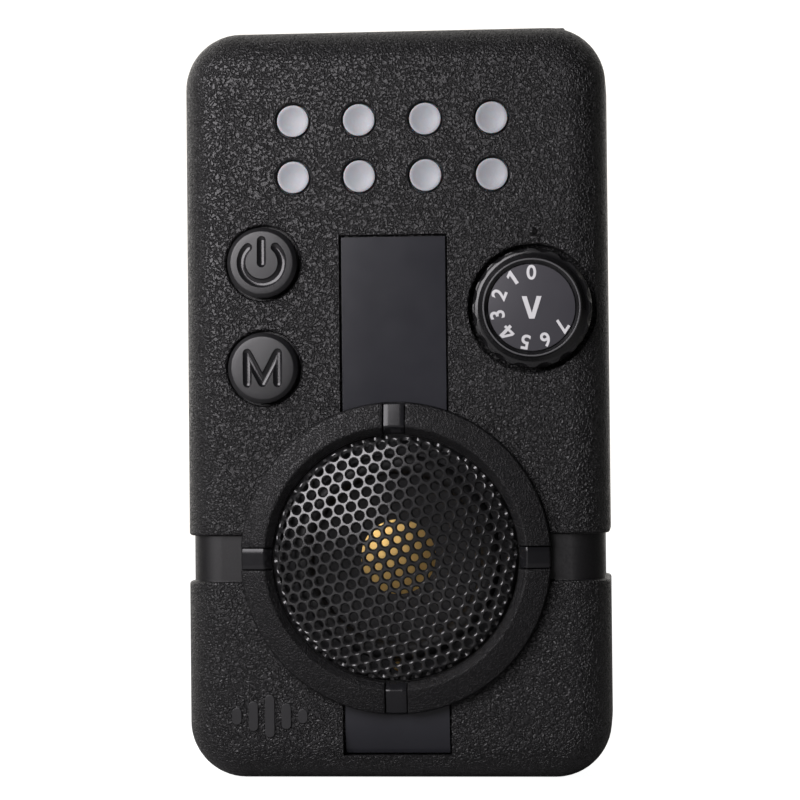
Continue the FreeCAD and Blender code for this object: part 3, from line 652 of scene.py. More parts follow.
# %% [markdown]
# ## Centre strip and level mark
#
# The strip is a smooth slate inlay that runs under the bezel and bends away at the foot of the face.
# The level mark is five plain bars that rise and fall.

# %% Inlays
moulded("slate_strip_long", "centre_strip_upper", "case", "strip_slate", strip_plastic)
moulded("slate_strip_short", "centre_strip_lower", "case", "strip_slate", strip_plastic)
moulded("level_bars", "level_mark", "case", "mark_grey", mark_plastic, 0.08)

# %% [markdown]
# ## Bezel ring
#
# The bezel is a ring with a raised crest, cut by four notches with parallel sides. A lathe would give
# a whole ring and a boolean could cut it, but the cut walls would then need repair before a bevel.
# Sweeping the section between the notches gives the same walls directly: each point of the section
# starts where its own radius meets the side of the notch.

# %% A section swept between two parallel cuts
bezel_low, bezel_high = span("speaker_bezel")
BEZEL_R = (bezel_high.x - bezel_low.x) / 2
CREST_Y = bezel_low.y
SEAT_Y = bezel_high.y
CREST_R = BEZEL_R - 3.6
MOUTH_R = BEZEL_R - 4.95
EDGE_Y = CREST_Y + 0.9
NOTCH_FLOOR = SEAT_Y - 1.05
NOTCH_HALF = 1.8
KEY_HALF = 1.625
KEY_DROP = 0.3
KEY_SLICES = (-1, -0.5, 0, 0.5, 1)
HOOP_R = 23.45
HOOP_BORE_R = 21.55


def swept(name, section, inset, first, last, steps):
    """Sweeps a (radius, y) section about the speaker axis, from first to last in degrees. Each point
    stops inset millimetres short of both ends, so the end walls are flat."""
    points = []
    count = len(section)
    for k in range(steps + 1):
        for radius, y in section:
            trim = math.asin(inset / radius)
            start = math.radians(first) + trim
            angle = start + (math.radians(last) - trim - start) * k / steps
            points.append((speaker.x + radius * math.sin(angle), y, speaker.z + radius * math.cos(angle)))
    ends = [list(range(count)), list(range(steps * count, (steps + 1) * count))]
    return solid(name, points, bands(steps + 1, count) + ends)


# %% Bezel
bezel_section = eased([(BEZEL_R, NOTCH_FLOOR - 0.02), (BEZEL_R, EDGE_Y), (BEZEL_R - 0.2, EDGE_Y - 0.25, 0.1),
                       (CREST_R, CREST_Y, 0.12), (CREST_R - 0.25, CREST_Y + 0.05, 0.1),
                       (MOUTH_R, CREST_Y + 1.1, 0.1), (MOUTH_R, NOTCH_FLOOR - 0.02)])
quarters = [swept(f"bezel_quarter_{n}", bezel_section, NOTCH_HALF, 90 * n, 90 * n + 90, 40)
            for n in range(4)]
quarters = [ease_edges(quarter, 0.09) for quarter in quarters]
foot = turned("bezel_foot", [(BEZEL_R, SEAT_Y), (BEZEL_R, NOTCH_FLOOR - 0.02), (MOUTH_R, NOTCH_FLOOR - 0.02),
                             (MOUTH_R, SEAT_Y - 0.5), (MOUTH_R + 1.65, SEAT_Y - 0.5),
                             (MOUTH_R + 1.65, SEAT_Y)], speaker, 160)
bezel = merged("bezel_ring", quarters + [foot])
fit(bezel, "case", "bezel_black", bezel_plastic, "speaker_bezel")

# %% [markdown]
# ## Retainer keys
#
# Under the bezel a plain ring holds the grille down. Its four keys fill the notches, a shade lower
# than the bezel and smooth where the bezel is grained.

# %% Keys
key_section = eased([(BEZEL_R - 0.12, NOTCH_FLOOR), (BEZEL_R - 0.12, EDGE_Y + KEY_DROP),
                     (BEZEL_R - 0.3, EDGE_Y - 0.25 + KEY_DROP, 0.1), (CREST_R, CREST_Y + KEY_DROP, 0.15),
                     (CREST_R - 0.25, CREST_Y + 0.05 + KEY_DROP, 0.1),
                     (MOUTH_R + 0.1, CREST_Y + 1.1 + KEY_DROP, 0.1), (MOUTH_R + 0.1, NOTCH_FLOOR)])


def key(number):
    """A key as the same section, between walls that close in from both sides."""
    points = []
    count = len(key_section)
    turn = Matrix.Rotation(math.radians(90 * number), 2)
    for side in KEY_SLICES:
        for radius, y in key_section:
            across = side * KEY_HALF
            flat = turn @ Vector((across, math.sqrt(radius ** 2 - across ** 2)))
            points.append((speaker.x + flat.x, y, speaker.z + flat.y))
    ends = [list(range(count)), list(range(len(points) - count, len(points)))]
    return ease_edges(solid(f"key_{number}", points, bands(len(KEY_SLICES), count) + ends), 0.08)


keys = [key(n) for n in range(4)]
hoop = turned("key_hoop", [(HOOP_R, SEAT_Y), (HOOP_R, NOTCH_FLOOR + 0.04),
                           (HOOP_BORE_R, NOTCH_FLOOR + 0.04), (HOOP_BORE_R, SEAT_Y)], speaker, 128)
fit(merged("retainer_keys", keys + [hoop]), "case", "key_black", key_plastic, "grille_retainer")

# %% [markdown]
# ## Growing pieces with Geometry Nodes
#
# A tree gets named inputs for its sizes, and a helper sets them by their identifiers, lets the tree
# run once and keeps the result as a plain mesh. What comes out is an ordinary piece, so it can be
# edited, exported and posed like any other.

# %% A Geometry Nodes tree with named inputs
SOCKETS = {float: "NodeSocketFloat", int: "NodeSocketInt", bpy.types.Object: "NodeSocketObject",
           bpy.types.Material: "NodeSocketMaterial"}


class Tree:
    """A Geometry Nodes tree. Its inputs are named with their starting values."""

    def __init__(self, name, **inputs):
        self.tree = bpy.data.node_groups.new(name, "GeometryNodeTree")
        self.face = self.tree.interface
        self.face.new_socket("Geometry", in_out="INPUT", socket_type="NodeSocketGeometry")
        self.names = {}
        for label, kind in inputs.items():
            made = self.face.new_socket(label.replace("_", " "), in_out="INPUT", socket_type=SOCKETS[kind])
            self.names[label] = made.identifier
        self.face.new_socket("Geometry", in_out="OUTPUT", socket_type="NodeSocketGeometry")
        self.start = self.tree.nodes.new("NodeGroupInput")
        self.end = self.tree.nodes.new("NodeGroupOutput")
        self.base = self.start.outputs["Geometry"]

    def size(self, label):
        return Number(self.tree, self.start.outputs[label.replace("_", " ")])

    def node(self, kind, inputs=(), **settings):
        return add_node(self.tree, kind, inputs, **settings)

    def geometry(self, kind, inputs=(), **settings):
        return self.node(kind, inputs, **settings).outputs[0]

    def point(self, x, y, z):
        return self.geometry("ShaderNodeCombineXYZ", {"X": x, "Y": y, "Z": z})

    def field(self, kind):
        return Number(self.tree, self.node(kind).outputs[0])

    def close(self, geometry):
        """Ends the tree: real geometry, smooth, in its material."""
        real = self.geometry("GeometryNodeRealizeInstances", {"Geometry": geometry})
        smooth = self.geometry("GeometryNodeSetShadeSmooth", {"Geometry": real})
        done = self.geometry("GeometryNodeSetMaterial",
                             {"Geometry": smooth, "Material": self.size("Material")})
        feed(self.tree, self.end.inputs["Geometry"], done)

    def grow(self, name, mesh, **values):
        """Runs the tree on a mesh in millimetres and returns a plain piece in metres."""
        carrier = new_object(name, mesh)
        modifier = carrier.modifiers.new("grow", "NODES")
        modifier.node_group = self.tree
        for label, value in values.items():
            modifier[self.names[label]] = value
        settle(carrier)
        carrier.data.transform(Matrix.Scale(MM, 4))
        return carrier


# %% [markdown]
# ## The perforated dome
#
# The grille began as a flat sheet punched with a close pattern of holes and was then pressed into a
# dome with a rolled shoulder. The tree does the same in the same order. One hexagon with a flared hole
# is laid out on a lattice, the copies are welded into a sheet, and the sheet is bent by a formula: a
# point's distance from the middle becomes its distance along the dome, so holes near the rim turn
# edge-on, as they do when steel is pressed. Cutting hundreds of holes with booleans would be slow and
# fragile.

# %% One hexagon of the sheet
HOLE_PITCH = 1.94
SHEET = 0.5
HOLE_SIDES = 12
HEX_CORNER = HOLE_PITCH / math.sqrt(3)
HOLE_RINGS = ((0.885, 0.0), (0.76, 0.10), (0.6, SHEET))


def hexagon():
    """Points round the hexagon: its corners, and the middles of its sides."""
    ring = []
    for k in range(HOLE_SIDES):
        reach = HEX_CORNER if k % 2 else HOLE_PITCH / 2
        angle = 2 * math.pi * k / HOLE_SIDES
        ring.append((reach * math.cos(angle), reach * math.sin(angle)))
    return ring


def cell_mesh(name, rings):
    """A hexagon of sheet, front and back. With rings it has a hole, and without them it is whole."""
    loops = [[(x, 0.0, z) for x, z in hexagon()]]
    for radius, y in rings:
        loops.append([(radius * math.cos(2 * math.pi * k / HOLE_SIDES), y,
                       radius * math.sin(2 * math.pi * k / HOLE_SIDES)) for k in range(HOLE_SIDES)])
    loops.append([(x, SHEET, z) for x, z in hexagon()])
    points = [point for loop in loops for point in loop]
    if rings:
        faces = bands(len(loops), HOLE_SIDES)
    else:
        faces = []
        points += [(0.0, 0.0, 0.0), (0.0, SHEET, 0.0)]
        for k in range(HOLE_SIDES):
            ahead = (k + 1) % HOLE_SIDES
            faces.append([k, ahead, len(points) - 2])
            faces.append([ahead + HOLE_SIDES, k + HOLE_SIDES, len(points) - 1])
    mesh = bpy.data.meshes.new(name)
    mesh.from_pydata(points, [], faces)
    return mesh


# %% The tree that lays out and presses the sheet
LATTICE = 29


def dome_tree():
    tree = Tree("pressed_perforated_dome", Pitch=float, Turn=float, Shift_X=float, Shift_Z=float,
                Reach=float, Last_Hole=float, Crown_Radius=float, Lean=float, Shoulder_Radius=float,
                Shoulder_Middle=float, Base_Y=float, Axis_X=float, Axis_Z=float,
                Blank=bpy.types.Object, Material=bpy.types.Material)
    index = tree.field("GeometryNodeInputIndex")
    row = (index / LATTICE).math("FLOOR")
    column = index - row * LATTICE
    pitch = tree.size("Pitch")
    middle_row = (LATTICE - 1) / 2
    across = (column - middle_row + row.math("MODULO", 2) * 0.5) * pitch
    up = (row - middle_row) * pitch * (math.sqrt(3) / 2)
    turn = tree.size("Turn")
    cosine, sine = turn.math("COSINE"), turn.math("SINE")
    x = across * cosine - up * sine + tree.size("Shift_X")
    z = across * sine + up * cosine + tree.size("Shift_Z")
    radius = (x * x + z * z).math("SQRT")
    spots = tree.geometry("GeometryNodePoints",
                          {"Count": LATTICE * LATTICE, "Position": tree.point(x, 0.0, z)})
    place = tree.node("ShaderNodeSeparateXYZ", {"Vector": tree.geometry("GeometryNodeInputPosition")})
    here = [Number(tree.tree, place.outputs[letter]) for letter in "XYZ"]
    away = (here[0] * here[0] + here[2] * here[2]).math("SQRT")
    spots = tree.geometry("GeometryNodeDeleteGeometry",
                          {"Geometry": spots, "Selection": away.math("GREATER_THAN", tree.size("Reach"))})
    blank = tree.node("GeometryNodeObjectInfo", {"Object": tree.size("Blank")}).outputs["Geometry"]
    bare = away.math("GREATER_THAN", tree.size("Last_Hole"))
    facing = tree.point(0.0, turn * -1.0, 0.0)
    whole = tree.node("GeometryNodeJoinGeometry")
    for shape, chosen in ((tree.base, bare.math("LESS_THAN", 0.5)), (blank, bare)):
        laid = tree.geometry("GeometryNodeInstanceOnPoints", {"Points": spots, "Selection": chosen,
                                                              "Instance": shape, "Rotation": facing})
        tree.tree.links.new(laid, whole.inputs[0])
    sheet = tree.geometry("GeometryNodeRealizeInstances", {"Geometry": whole.outputs[0]})
    sheet = tree.geometry("GeometryNodeMergeByDistance", {"Geometry": sheet, "Distance": 0.002})
    away = away.math("MAXIMUM", 1e-6)
    crown_r, lean = tree.size("Crown_Radius"), tree.size("Lean")
    shoulder_r, shoulder_x = tree.size("Shoulder_Radius"), tree.size("Shoulder_Middle")
    base_y = tree.size("Base_Y")
    beyond = away - crown_r * lean
    rolled = beyond.math("GREATER_THAN", 0.0)
    angle = (away / crown_r) + rolled * (lean + beyond / shoulder_r - away / crown_r)
    crown_y = base_y + (crown_r - shoulder_r) * lean.math("COSINE")
    bend_r = crown_r - here[1] + rolled * (shoulder_r - crown_r)
    out = bend_r * angle.math("SINE") + rolled * shoulder_x
    depth = crown_y + rolled * (base_y - crown_y) - bend_r * angle.math("COSINE")
    pressed = tree.point(here[0] / away * out + tree.size("Axis_X"), depth,
                         here[2] / away * out + tree.size("Axis_Z"))
    sheet = tree.geometry("GeometryNodeSetPosition", {"Geometry": sheet, "Position": pressed})
    tree.close(sheet)
    return tree


# %% Grow the dome and give it its flange
grille_low, grille_high = span("speaker_grille")
DOME_R = MOUTH_R - 0.15
FLANGE_R = (grille_high.x - grille_low.x) / 2
SHOULDER_R = 2.5
BASE_Y = SEAT_Y - SHEET
rise = BASE_Y - grille_low.y
shoulder_x = DOME_R - SHOULDER_R
crown_r = (shoulder_x ** 2 - SHOULDER_R ** 2 + rise ** 2) / (2 * (rise - SHOULDER_R))
lean = math.asin(shoulder_x / (crown_r - SHOULDER_R))
print(f"dome: crown radius {crown_r:.1f} mm, shoulder from {math.degrees(lean):.1f} degrees")

blank_cell = new_object("blank_cell", cell_mesh("blank_cell", ()))
dome = dome_tree().grow(
    "grille_dome", cell_mesh("drilled_cell", HOLE_RINGS), Pitch=HOLE_PITCH, Turn=math.radians(13.7),
    Shift_X=0.1, Shift_Z=1.16, Reach=22.4, Last_Hole=19.95, Crown_Radius=crown_r, Lean=lean,
    Shoulder_Radius=SHOULDER_R, Shoulder_Middle=shoulder_x, Base_Y=BASE_Y, Axis_X=speaker.x,
    Axis_Z=speaker.z, Blank=blank_cell, Material=enamel)
discard(blank_cell)


def trim_below(piece, y):
    """Cuts off what lies behind a plane and closes the cut."""
    work = bmesh.new()
    work.from_mesh(piece.data)
    everything = [*work.verts, *work.edges, *work.faces]
    bmesh.ops.bisect_plane(work, geom=everything, dist=1e-7, plane_co=(0, y * MM, 0),
                           plane_no=(0, 1, 0), clear_outer=True)
    rim = [edge for edge in work.edges if edge.is_boundary]
    bmesh.ops.bridge_loops(work, edges=rim)
    bmesh.ops.recalc_face_normals(work, faces=work.faces)
    work.to_mesh(piece.data)
    left = sum(edge.is_boundary for edge in work.edges)
    work.free()
    print(f"{piece.name}: rim of {len(rim)} edges closed, {left} left open")


trim_below(dome, BASE_Y)
flange = turned("grille_flange", [(DOME_R - SHEET, BASE_Y), (FLANGE_R, BASE_Y), (FLANGE_R, SEAT_Y),
                                  (DOME_R - SHEET, SEAT_Y)], speaker, 128)
dress(flange, enamel)
grille = merged("perforated_grille", [dome, flange])
shade(grille.data)
fit(grille, "case", "grille_black", enamel, "speaker_grille")

# %% [markdown]
# ## Copies at places
#
# Lamps, screws and springs are one shape each, set down where the frame has them. A second tree puts
# a copy on each point of a guide mesh, and may give each a turn of its own from a fixed seed or roll
# every other one over.

# %% The tree that sets copies down
def copies_tree():
    tree = Tree("copies_at_places", Places=bpy.types.Object, Turn_Range=float, Seed=int,
                Roll_Odd=float, Material=bpy.types.Material)
    guide = tree.node("GeometryNodeObjectInfo", {"Object": tree.size("Places")}).outputs["Geometry"]
    random = tree.node("FunctionNodeRandomValue", {"Seed": tree.size("Seed")})
    share = Number(tree.tree, random.outputs[1])
    odd = tree.field("GeometryNodeInputIndex").math("MODULO", 2)
    turn = tree.point(odd * tree.size("Roll_Odd"), share * tree.size("Turn_Range"), 0.0)
    laid = tree.geometry("GeometryNodeInstanceOnPoints", {"Points": guide, "Instance": tree.base,
                                                          "Rotation": turn})
    tree.close(laid)
    return tree


copies = copies_tree()


def set_down(name, shape, places, material, **values):
    """Copies of a shape, made at the origin in millimetres, at each place."""
    guide_mesh = bpy.data.meshes.new(name + "_places")
    guide_mesh.from_pydata([tuple(place) for place in places], [], [])
    guide = new_object(name + "_places", guide_mesh)
    shape.data.transform(Matrix.Scale(1 / MM, 4))
    mesh = shape.data
    discard(shape)
    piece = copies.grow(name, mesh, Places=guide, Material=material, **values)
    discard(guide)
    shade(piece.data)
    return piece


ORIGIN = Vector((0, 0, 0))

# %% [markdown]
# ## Lamps
#
# Each lamp is a 5 mm body with a shallow dish in its face. The dish is what makes one side of the
# frosted face brighter than the other.

# %% Eight lamps
led_names = [f"led_{n}" for n in range(1, 9)]
led_low, led_high = span("led_1")
LENS_R = 2.5
LENS_DISH = 0.3
COLLAR_R = (led_high.x - led_low.x) / 2
led_depth = led_high.y - led_low.y
dish = [(LENS_R * 0.9 * k / 6, LENS_DISH * (1 - (k / 6) ** 2)) for k in range(7)]
lens = turned("lens", dish + [(LENS_R - 0.06, 0.03), (LENS_R, 0.12), (LENS_R, 2.0), (COLLAR_R, 2.05),
                              (COLLAR_R, 2.9), (LENS_R, 2.95), (LENS_R, led_depth - 0.2),
                              (LENS_R - 0.2, led_depth), (0, led_depth)], ORIGIN, 48)
lens_places = [Vector((middle(n).x, led_low.y, middle(n).z)) for n in led_names]
lamps = set_down("frosted_lamps", lens, lens_places, lamp_frost)
fit(lamps, "case", "lamp_frost", lamp_frost, *led_names)

# %% [markdown]
# ## Push buttons
#
# A button is a low cap, slightly domed, with a rounded rim and a sunk sign. Each stroke of a sign is
# a rod with round ends that lies part way into the cap. Carving it out leaves a trench with a round,
# polished floor, which is dark on one side and bright on the other.

# %% Rods with round ends
ROD_SIDES = 24
END_RINGS = 5


def rod(name, path, radius, y):
    """A round rod along a path of (x, z) points at one depth, with a hemisphere at each end."""
    path = [Vector(p) for p in path]
    first = (path[1] - path[0]).normalized()
    last = (path[-1] - path[-2]).normalized()
    rings = []
    for k in range(1, END_RINGS + 1):
        swing = math.radians(90) * k / END_RINGS
        rings.append((path[0] - first * radius * math.cos(swing), first, radius * math.sin(swing)))
    for before, here, after in zip(path, path[1:], path[2:]):
        rings.append((here, (after - before).normalized(), radius))
    for k in range(END_RINGS, 0, -1):
        swing = math.radians(90) * k / END_RINGS
        rings.append((path[-1] + last * radius * math.cos(swing), last, radius * math.sin(swing)))
    points = []
    for centre, ahead, size in rings:
        for k in range(ROD_SIDES):
            turn = 2 * math.pi * k / ROD_SIDES
            across = size * math.cos(turn)
            points.append((centre.x - ahead.y * across, y + size * math.sin(turn),
                           centre.y + ahead.x * across))
    faces = bands(len(rings), ROD_SIDES)
    tips = ((path[0] - first * radius, 0, 1), (path[-1] + last * radius, len(rings) - 1, -1))
    for tip, ring, step in tips:
        points.append((tip.x, y, tip.y))
        for k in range(ROD_SIDES):
            faces.append([ring * ROD_SIDES + k, ring * ROD_SIDES + (k + step) % ROD_SIDES, len(points) - 1])
    return solid(name, points, faces)


# %% The two signs
ROD_R = 0.85
ROD_SUNK = 0.42
power = middle("power_button")
mode = middle("mode_button")
CAP_Y = span("power_button")[0].y
RING_R = 3.25
RING_GAP = math.radians(42)


def power_strokes():
    turn = 2 * math.pi - 2 * RING_GAP
    ring = [(power.x + RING_R * math.sin(RING_GAP + turn * k / 40),
             power.z + RING_R * math.cos(RING_GAP + turn * k / 40)) for k in range(41)]
    bar = [(power.x, power.z), (power.x, power.z + 3.5)]
    return [ring, bar]


def mode_strokes():
    half = 2.4
    tall = 2.35
    letter = [(-half, -tall), (-half, tall), (0, -tall + 0.1), (half, tall), (half, -tall)]
    spots = [(mode.x + x, mode.z + z) for x, z in letter]
    return list(zip(spots, spots[1:]))


# %% Caps
CAP_R = 5.53
CAP_STEPS = 96
DOME_EDGE_R = 4.9
DOME_FALL = 0.16
DOME_MEAN = 0.06
SIGN_R = 4.7
SKIRT_Y = FACE_Y + 2.3
cap_back = span("power_button")[1].y


def dome_y(radius):
    """Depth of the cap's domed face at a distance from its middle."""
    return CAP_Y + DOME_FALL * (radius / DOME_EDGE_R) ** 2


def button(name, node, body, place, strokes):
    domed = [(r, dome_y(r)) for r in (0, 1.5, 2.8, 4.0)]
    profile = eased(domed + [(DOME_EDGE_R, CAP_Y + DOME_FALL, 0.3), (CAP_R, CAP_Y + 0.75, 0.35),
                             (CAP_R, SKIRT_Y), (CAP_R + 1, SKIRT_Y), (CAP_R + 1, FACE_Y + 3.1),
                             (0, FACE_Y + 3.1)])
    cap = turned(name, profile, place, CAP_STEPS)
    for n, path in enumerate(strokes):
        carve(cap, rod(f"cutter_{n}", path, ROD_R, CAP_Y + DOME_MEAN - ROD_R + ROD_SUNK))
    shade(cap.data)
    even_shading(cap)
    dress(cap, button_plastic, symbol_plastic)
    sunk = 0
    for face in cap.data.polygons:
        off = face.center / MM - place
        away = math.hypot(off.x, off.z)
        if away < SIGN_R and dome_y(away) + 0.03 < face.center.y / MM < CAP_Y + 1:
            face.material_index = 1
            sunk += 1
    print(f"{name}: {sunk} faces in the sign")
    stem = turned(name + "_stem", [(0, FACE_Y + 3.0), (1.4, FACE_Y + 3.0), (1.4, cap_back), (0, cap_back)],
                  place, 32)
    dress(stem, button_plastic)
    return fit(merged(name, [cap, stem]), body, "button_black", None, node)


button("power_cap", "power_button", "power_key", power, power_strokes())
button("mode_cap", "mode_button", "mode_key", mode, mode_strokes())

# %% [markdown]
# ## Volume dial
#
# The knob's rim has sixteen shallow scallops for the thumb. They follow a rule, so they are part of
# the turning: each is a hollow that is deepest at the front edge of the rim and runs out behind it,
# which is why it looks like a lens from the front.

# %% Knob
knob_low, knob_high = span("volume_knob")
KNOB_Y = knob_low.y
KNOB_R = 9.3
LOBES = 16
SCALLOP_DEEP = 0.58
SCALLOP_R = 1.9
SCALLOP_RUN = 1.1
RIM_Y = KNOB_Y + 1.15
PLATE_R = 6.8
LIP_R = 7.5
HUB_R = 4.4
KNOB_STEPS = 320


def scallops(angle, radius, y):
    """Keeps the rim inside the hollow of the nearest scallop."""
    lobe = 2 * math.pi / LOBES
    aside = radius * math.sin((angle % lobe) - lobe / 2)
    deep = SCALLOP_DEEP * (1 - max(y - RIM_Y, 0) / SCALLOP_RUN)
    hollow = aside ** 2 / 2 * (1 / SCALLOP_R + 1 / KNOB_R)
    return min(radius, KNOB_R - deep + hollow)


CORNER = 0.2
corner = [(KNOB_R - CORNER + CORNER * math.sin(math.radians(15 * k)),
           RIM_Y + CORNER - CORNER * math.cos(math.radians(15 * k))) for k in range(7)]
wall = [(KNOB_R, RIM_Y + CORNER + 0.13 * k) for k in range(1, 9)]
crown = eased([
    (0, KNOB_Y + 0.9), (PLATE_R + 0.08, KNOB_Y + 0.9), (PLATE_R + 0.08, KNOB_Y + 0.5, 0.04),
    (LIP_R - 0.1, KNOB_Y, 0.07), (LIP_R + 0.1, KNOB_Y, 0.07), (LIP_R + 0.3, KNOB_Y + 0.35, 0.12),
    (KNOB_R - 0.9, RIM_Y - 0.15, 0.15), (KNOB_R - 0.55, RIM_Y), (KNOB_R - 0.38, RIM_Y)])
back = [(KNOB_R, knob_high.y - 2.5), (KNOB_R - 2, knob_high.y - 2.2), (0, knob_high.y - 2.2)]
knob_body = turned("knob_body", crown + corner + wall + back, dial, KNOB_STEPS, scallops)
hub = turned("knob_hub", [(0, knob_high.y - 2.3), (HUB_R, knob_high.y - 2.3),
                          (HUB_R, knob_high.y), (0, knob_high.y)], dial, 48)
dress(knob_body, knob_plastic, lip_grey_plastic)
# The faces at the front of the lip take the lighter grey, a narrow lighter ring round the plate.
for face in knob_body.data.polygons:
    off = face.center / MM - dial
    if face.center.y / MM < KNOB_Y + 0.05 and math.hypot(off.x, off.z) > LIP_R - 0.2:
        face.material_index = 1
dress(hub, knob_plastic)
fit(merged("scalloped_knob", [knob_body, hub]), "dial", "knob_black", None, "volume_knob")

# %% [markdown]
# ## Dial plate and its figures
#
# The figures are real, thin shapes rather than a picture, so they stay crisp at any distance. Most
# come from the font, and the plain 1, 4 and V are drawn as outlines. Each becomes a mesh first and is
# then laid round the plate, top outwards.

# %% Plate and figures
PLATE_Y = KNOB_Y + 0.45
FIGURE_STEP = -236.6 / 7
plate = turned("plate", eased([(0, PLATE_Y), (PLATE_R - 0.05, PLATE_Y, 0.06),
                               (PLATE_R - 0.05, KNOB_Y + 0.88), (0, KNOB_Y + 0.88)]), dial, 96)
dress(plate, plate_plastic)


DRAWN = {
    "1": [[(0.10, 0), (0.34, 0), (0.34, 1), (0.20, 1), (-0.12, 0.80), (-0.12, 0.60), (0.10, 0.73)]],
    "4": [[(0.46, 0), (0.68, 0), (0.68, 0.2), (0.84, 0.2), (0.84, 0.38), (0.68, 0.38), (0.68, 1), (0.46, 1)],
          [(0.46, 0.2), (0.46, 0.38), (0.2, 0.38), (0.46, 0.78), (0.46, 1), (0.4, 1), (0, 0.38), (0, 0.2)]],
    "V": [[(-0.44, 1), (-0.22, 1), (0, 0.26), (0.22, 1), (0.44, 1), (0.12, 0), (-0.12, 0)]],
}
THICK = 0.02
WEIGHT = 0.07
CAPITAL = 0.72


def drawn_mesh(outlines):
    """Outlines, each given in order round it, as thin flat shapes."""
    points, faces = [], []
    for outline in outlines:
        start = len(points)
        count = len(outline)
        points += [(x, y, z) for z in (-THICK, THICK) for x, y in outline]
        faces += [[start + n for n in range(count)], [start + count + n for n in range(count)]]
        faces += bands(2, count, start)
    mesh = bpy.data.meshes.new("drawn_figure")
    mesh.from_pydata(points, [], faces)
    turn_outwards(mesh)
    return mesh


def text_mesh(text, height):
    curve = bpy.data.curves.new("figure_" + text, "FONT")
    curve.body = text
    curve.size = height / CAPITAL
    curve.offset = WEIGHT
    curve.extrude = THICK
    curve.resolution_u = 6
    lettering = new_object("figure_" + text, curve)
    view = bpy.context.evaluated_depsgraph_get()
    mesh = bpy.data.meshes.new_from_object(lettering.evaluated_get(view))
    discard(lettering)
    return mesh


def figure(text, height, degrees, radius):
    """A printed figure on the plate, with its middle at a radius and its top facing outwards."""
    mesh = drawn_mesh(DRAWN[text]) if text in DRAWN else text_mesh(text, height)
    xs = [v.co.x for v in mesh.vertices]
    ys = [v.co.y for v in mesh.vertices]
    size = height / (max(ys) - min(ys))
    centred = Matrix.Translation((-(min(xs) + max(xs)) / 2, -(min(ys) + max(ys)) / 2, 0))
    sized = Matrix.Diagonal((size, size, 1, 1))
    upright = Matrix.Rotation(math.radians(90), 4, "X")
    outward = Matrix.Rotation(math.radians(degrees), 4, "Y") @ Matrix.Translation((0, 0, radius))
    there = Matrix.Translation((dial.x, PLATE_Y - 0.01, dial.z))
    mesh.transform(Matrix.Scale(MM, 4) @ there @ outward @ upright @ sized @ centred)
    mesh.materials.clear()
    mesh.materials.append(figure_white)
    return new_object("figure_" + text, mesh)


figures = [figure(str(n), 2.3, n * FIGURE_STEP, 5.45) for n in range(8)]
figures.append(figure("V", 3.5, 0, 0))
fit(merged("numbered_plate", [plate, *figures]), "dial", "plate_grey", None, "dial_plate")

# %% [markdown]
# ## Speaker behind the grille
#
# Through the holes one sees the brass-coloured dome in the middle, the dark cone and the rubber roll
# round it. They are turned pieces with thin walls, and the frame's own meshes are close enough, so
# they are smoothed copies.

# %% Speaker
for name, node, body, slot, material in (
        ("brass_dome", "dust_cap", "cone", "cap_brass", brass),
        ("paper_cone", "speaker_cone", "cone", "cone_paper", cone_paper),
        ("winding", "voice_coil", "cone", "coil_copper", copper),
        ("rubber_roll", "speaker_surround", "case", "rubber_black", rubber),
        ("basket", "speaker_frame", "case", "frame_steel", frame_steel)):
    fit(even_shading(clean_copy(name, node)), body, slot, material, node)

# %% [markdown]
# ## Case screws
#
# Six screws hold the shells together. One screw is turned and given a cross recess, and the tree sets
# down six, each stopped at its own angle.

# %% Screws
screw_low, screw_high = span("case_screws")
HEAD_R = 1.9
HEAD_T = 1.5
SCREW_X = (screw_high.x - screw_low.x) / 2 - HEAD_R
MIDDLE_SCREW_Z = 57.5
RECESS_REACH = 1.15
RECESS_HALF = 0.26
RECESS_DEEP = 0.7
SCREW_ZS = (screw_low.z + HEAD_R, MIDDLE_SCREW_Z, screw_high.z - HEAD_R)
head_y = screw_high.y - HEAD_T
screw = turned("screw", eased([(0, HEAD_T), (HEAD_R, HEAD_T, 0.35), (HEAD_R, 0.0, 0.05), (1.0, 0.0),
                               (1.0, screw_low.y - head_y + 0.8, 0.1), (0, screw_low.y - head_y)]),
               ORIGIN, 40)
for turn in (0, 90):
    corners = [Matrix.Rotation(math.radians(turn), 2) @ Vector(p)
               for p in ((-RECESS_REACH, -RECESS_HALF), (RECESS_REACH, -RECESS_HALF),
                         (RECESS_REACH, RECESS_HALF), (-RECESS_REACH, RECESS_HALF))]
    carve(screw, slab("recess", [tuple(p) for p in corners], HEAD_T - RECESS_DEEP, HEAD_T + 1))
screw_places = [Vector((side * SCREW_X, head_y, z)) for z in SCREW_ZS for side in (-1, 1)]
screws = set_down("cross_head_screws", screw, screw_places, steel, Turn_Range=math.pi, Seed=4)
fit(screws, "case", "steel", steel, "case_screws")

# %% [markdown]
# ## Battery springs
#
# The frame holds each spring as the cone that its wire winds round. Here the wire is real: a spiral
# that narrows as it climbs, swept by a small circle, set down at each cell and rolled over for the
# cell that faces the other way.

# %% Springs
def spring_tree():
    tree = Tree("conical_spring", Turns=float, Foot_Radius=float, Tip_Radius=float, Height=float,
                Wire=float, Material=bpy.types.Material)
    line = tree.geometry("GeometryNodeCurveSpiral", {
        "Resolution": 28, "Rotations": tree.size("Turns"), "Start Radius": tree.size("Foot_Radius"),
        "End Radius": tree.size("Tip_Radius"), "Height": tree.size("Height")})
    ring = tree.geometry("GeometryNodeCurvePrimitiveCircle", {"Resolution": 8, "Radius": tree.size("Wire")})
    wire = tree.geometry("GeometryNodeCurveToMesh",
                         {"Curve": line, "Profile Curve": ring, "Fill Caps": True})
    tree.close(wire)
    return tree


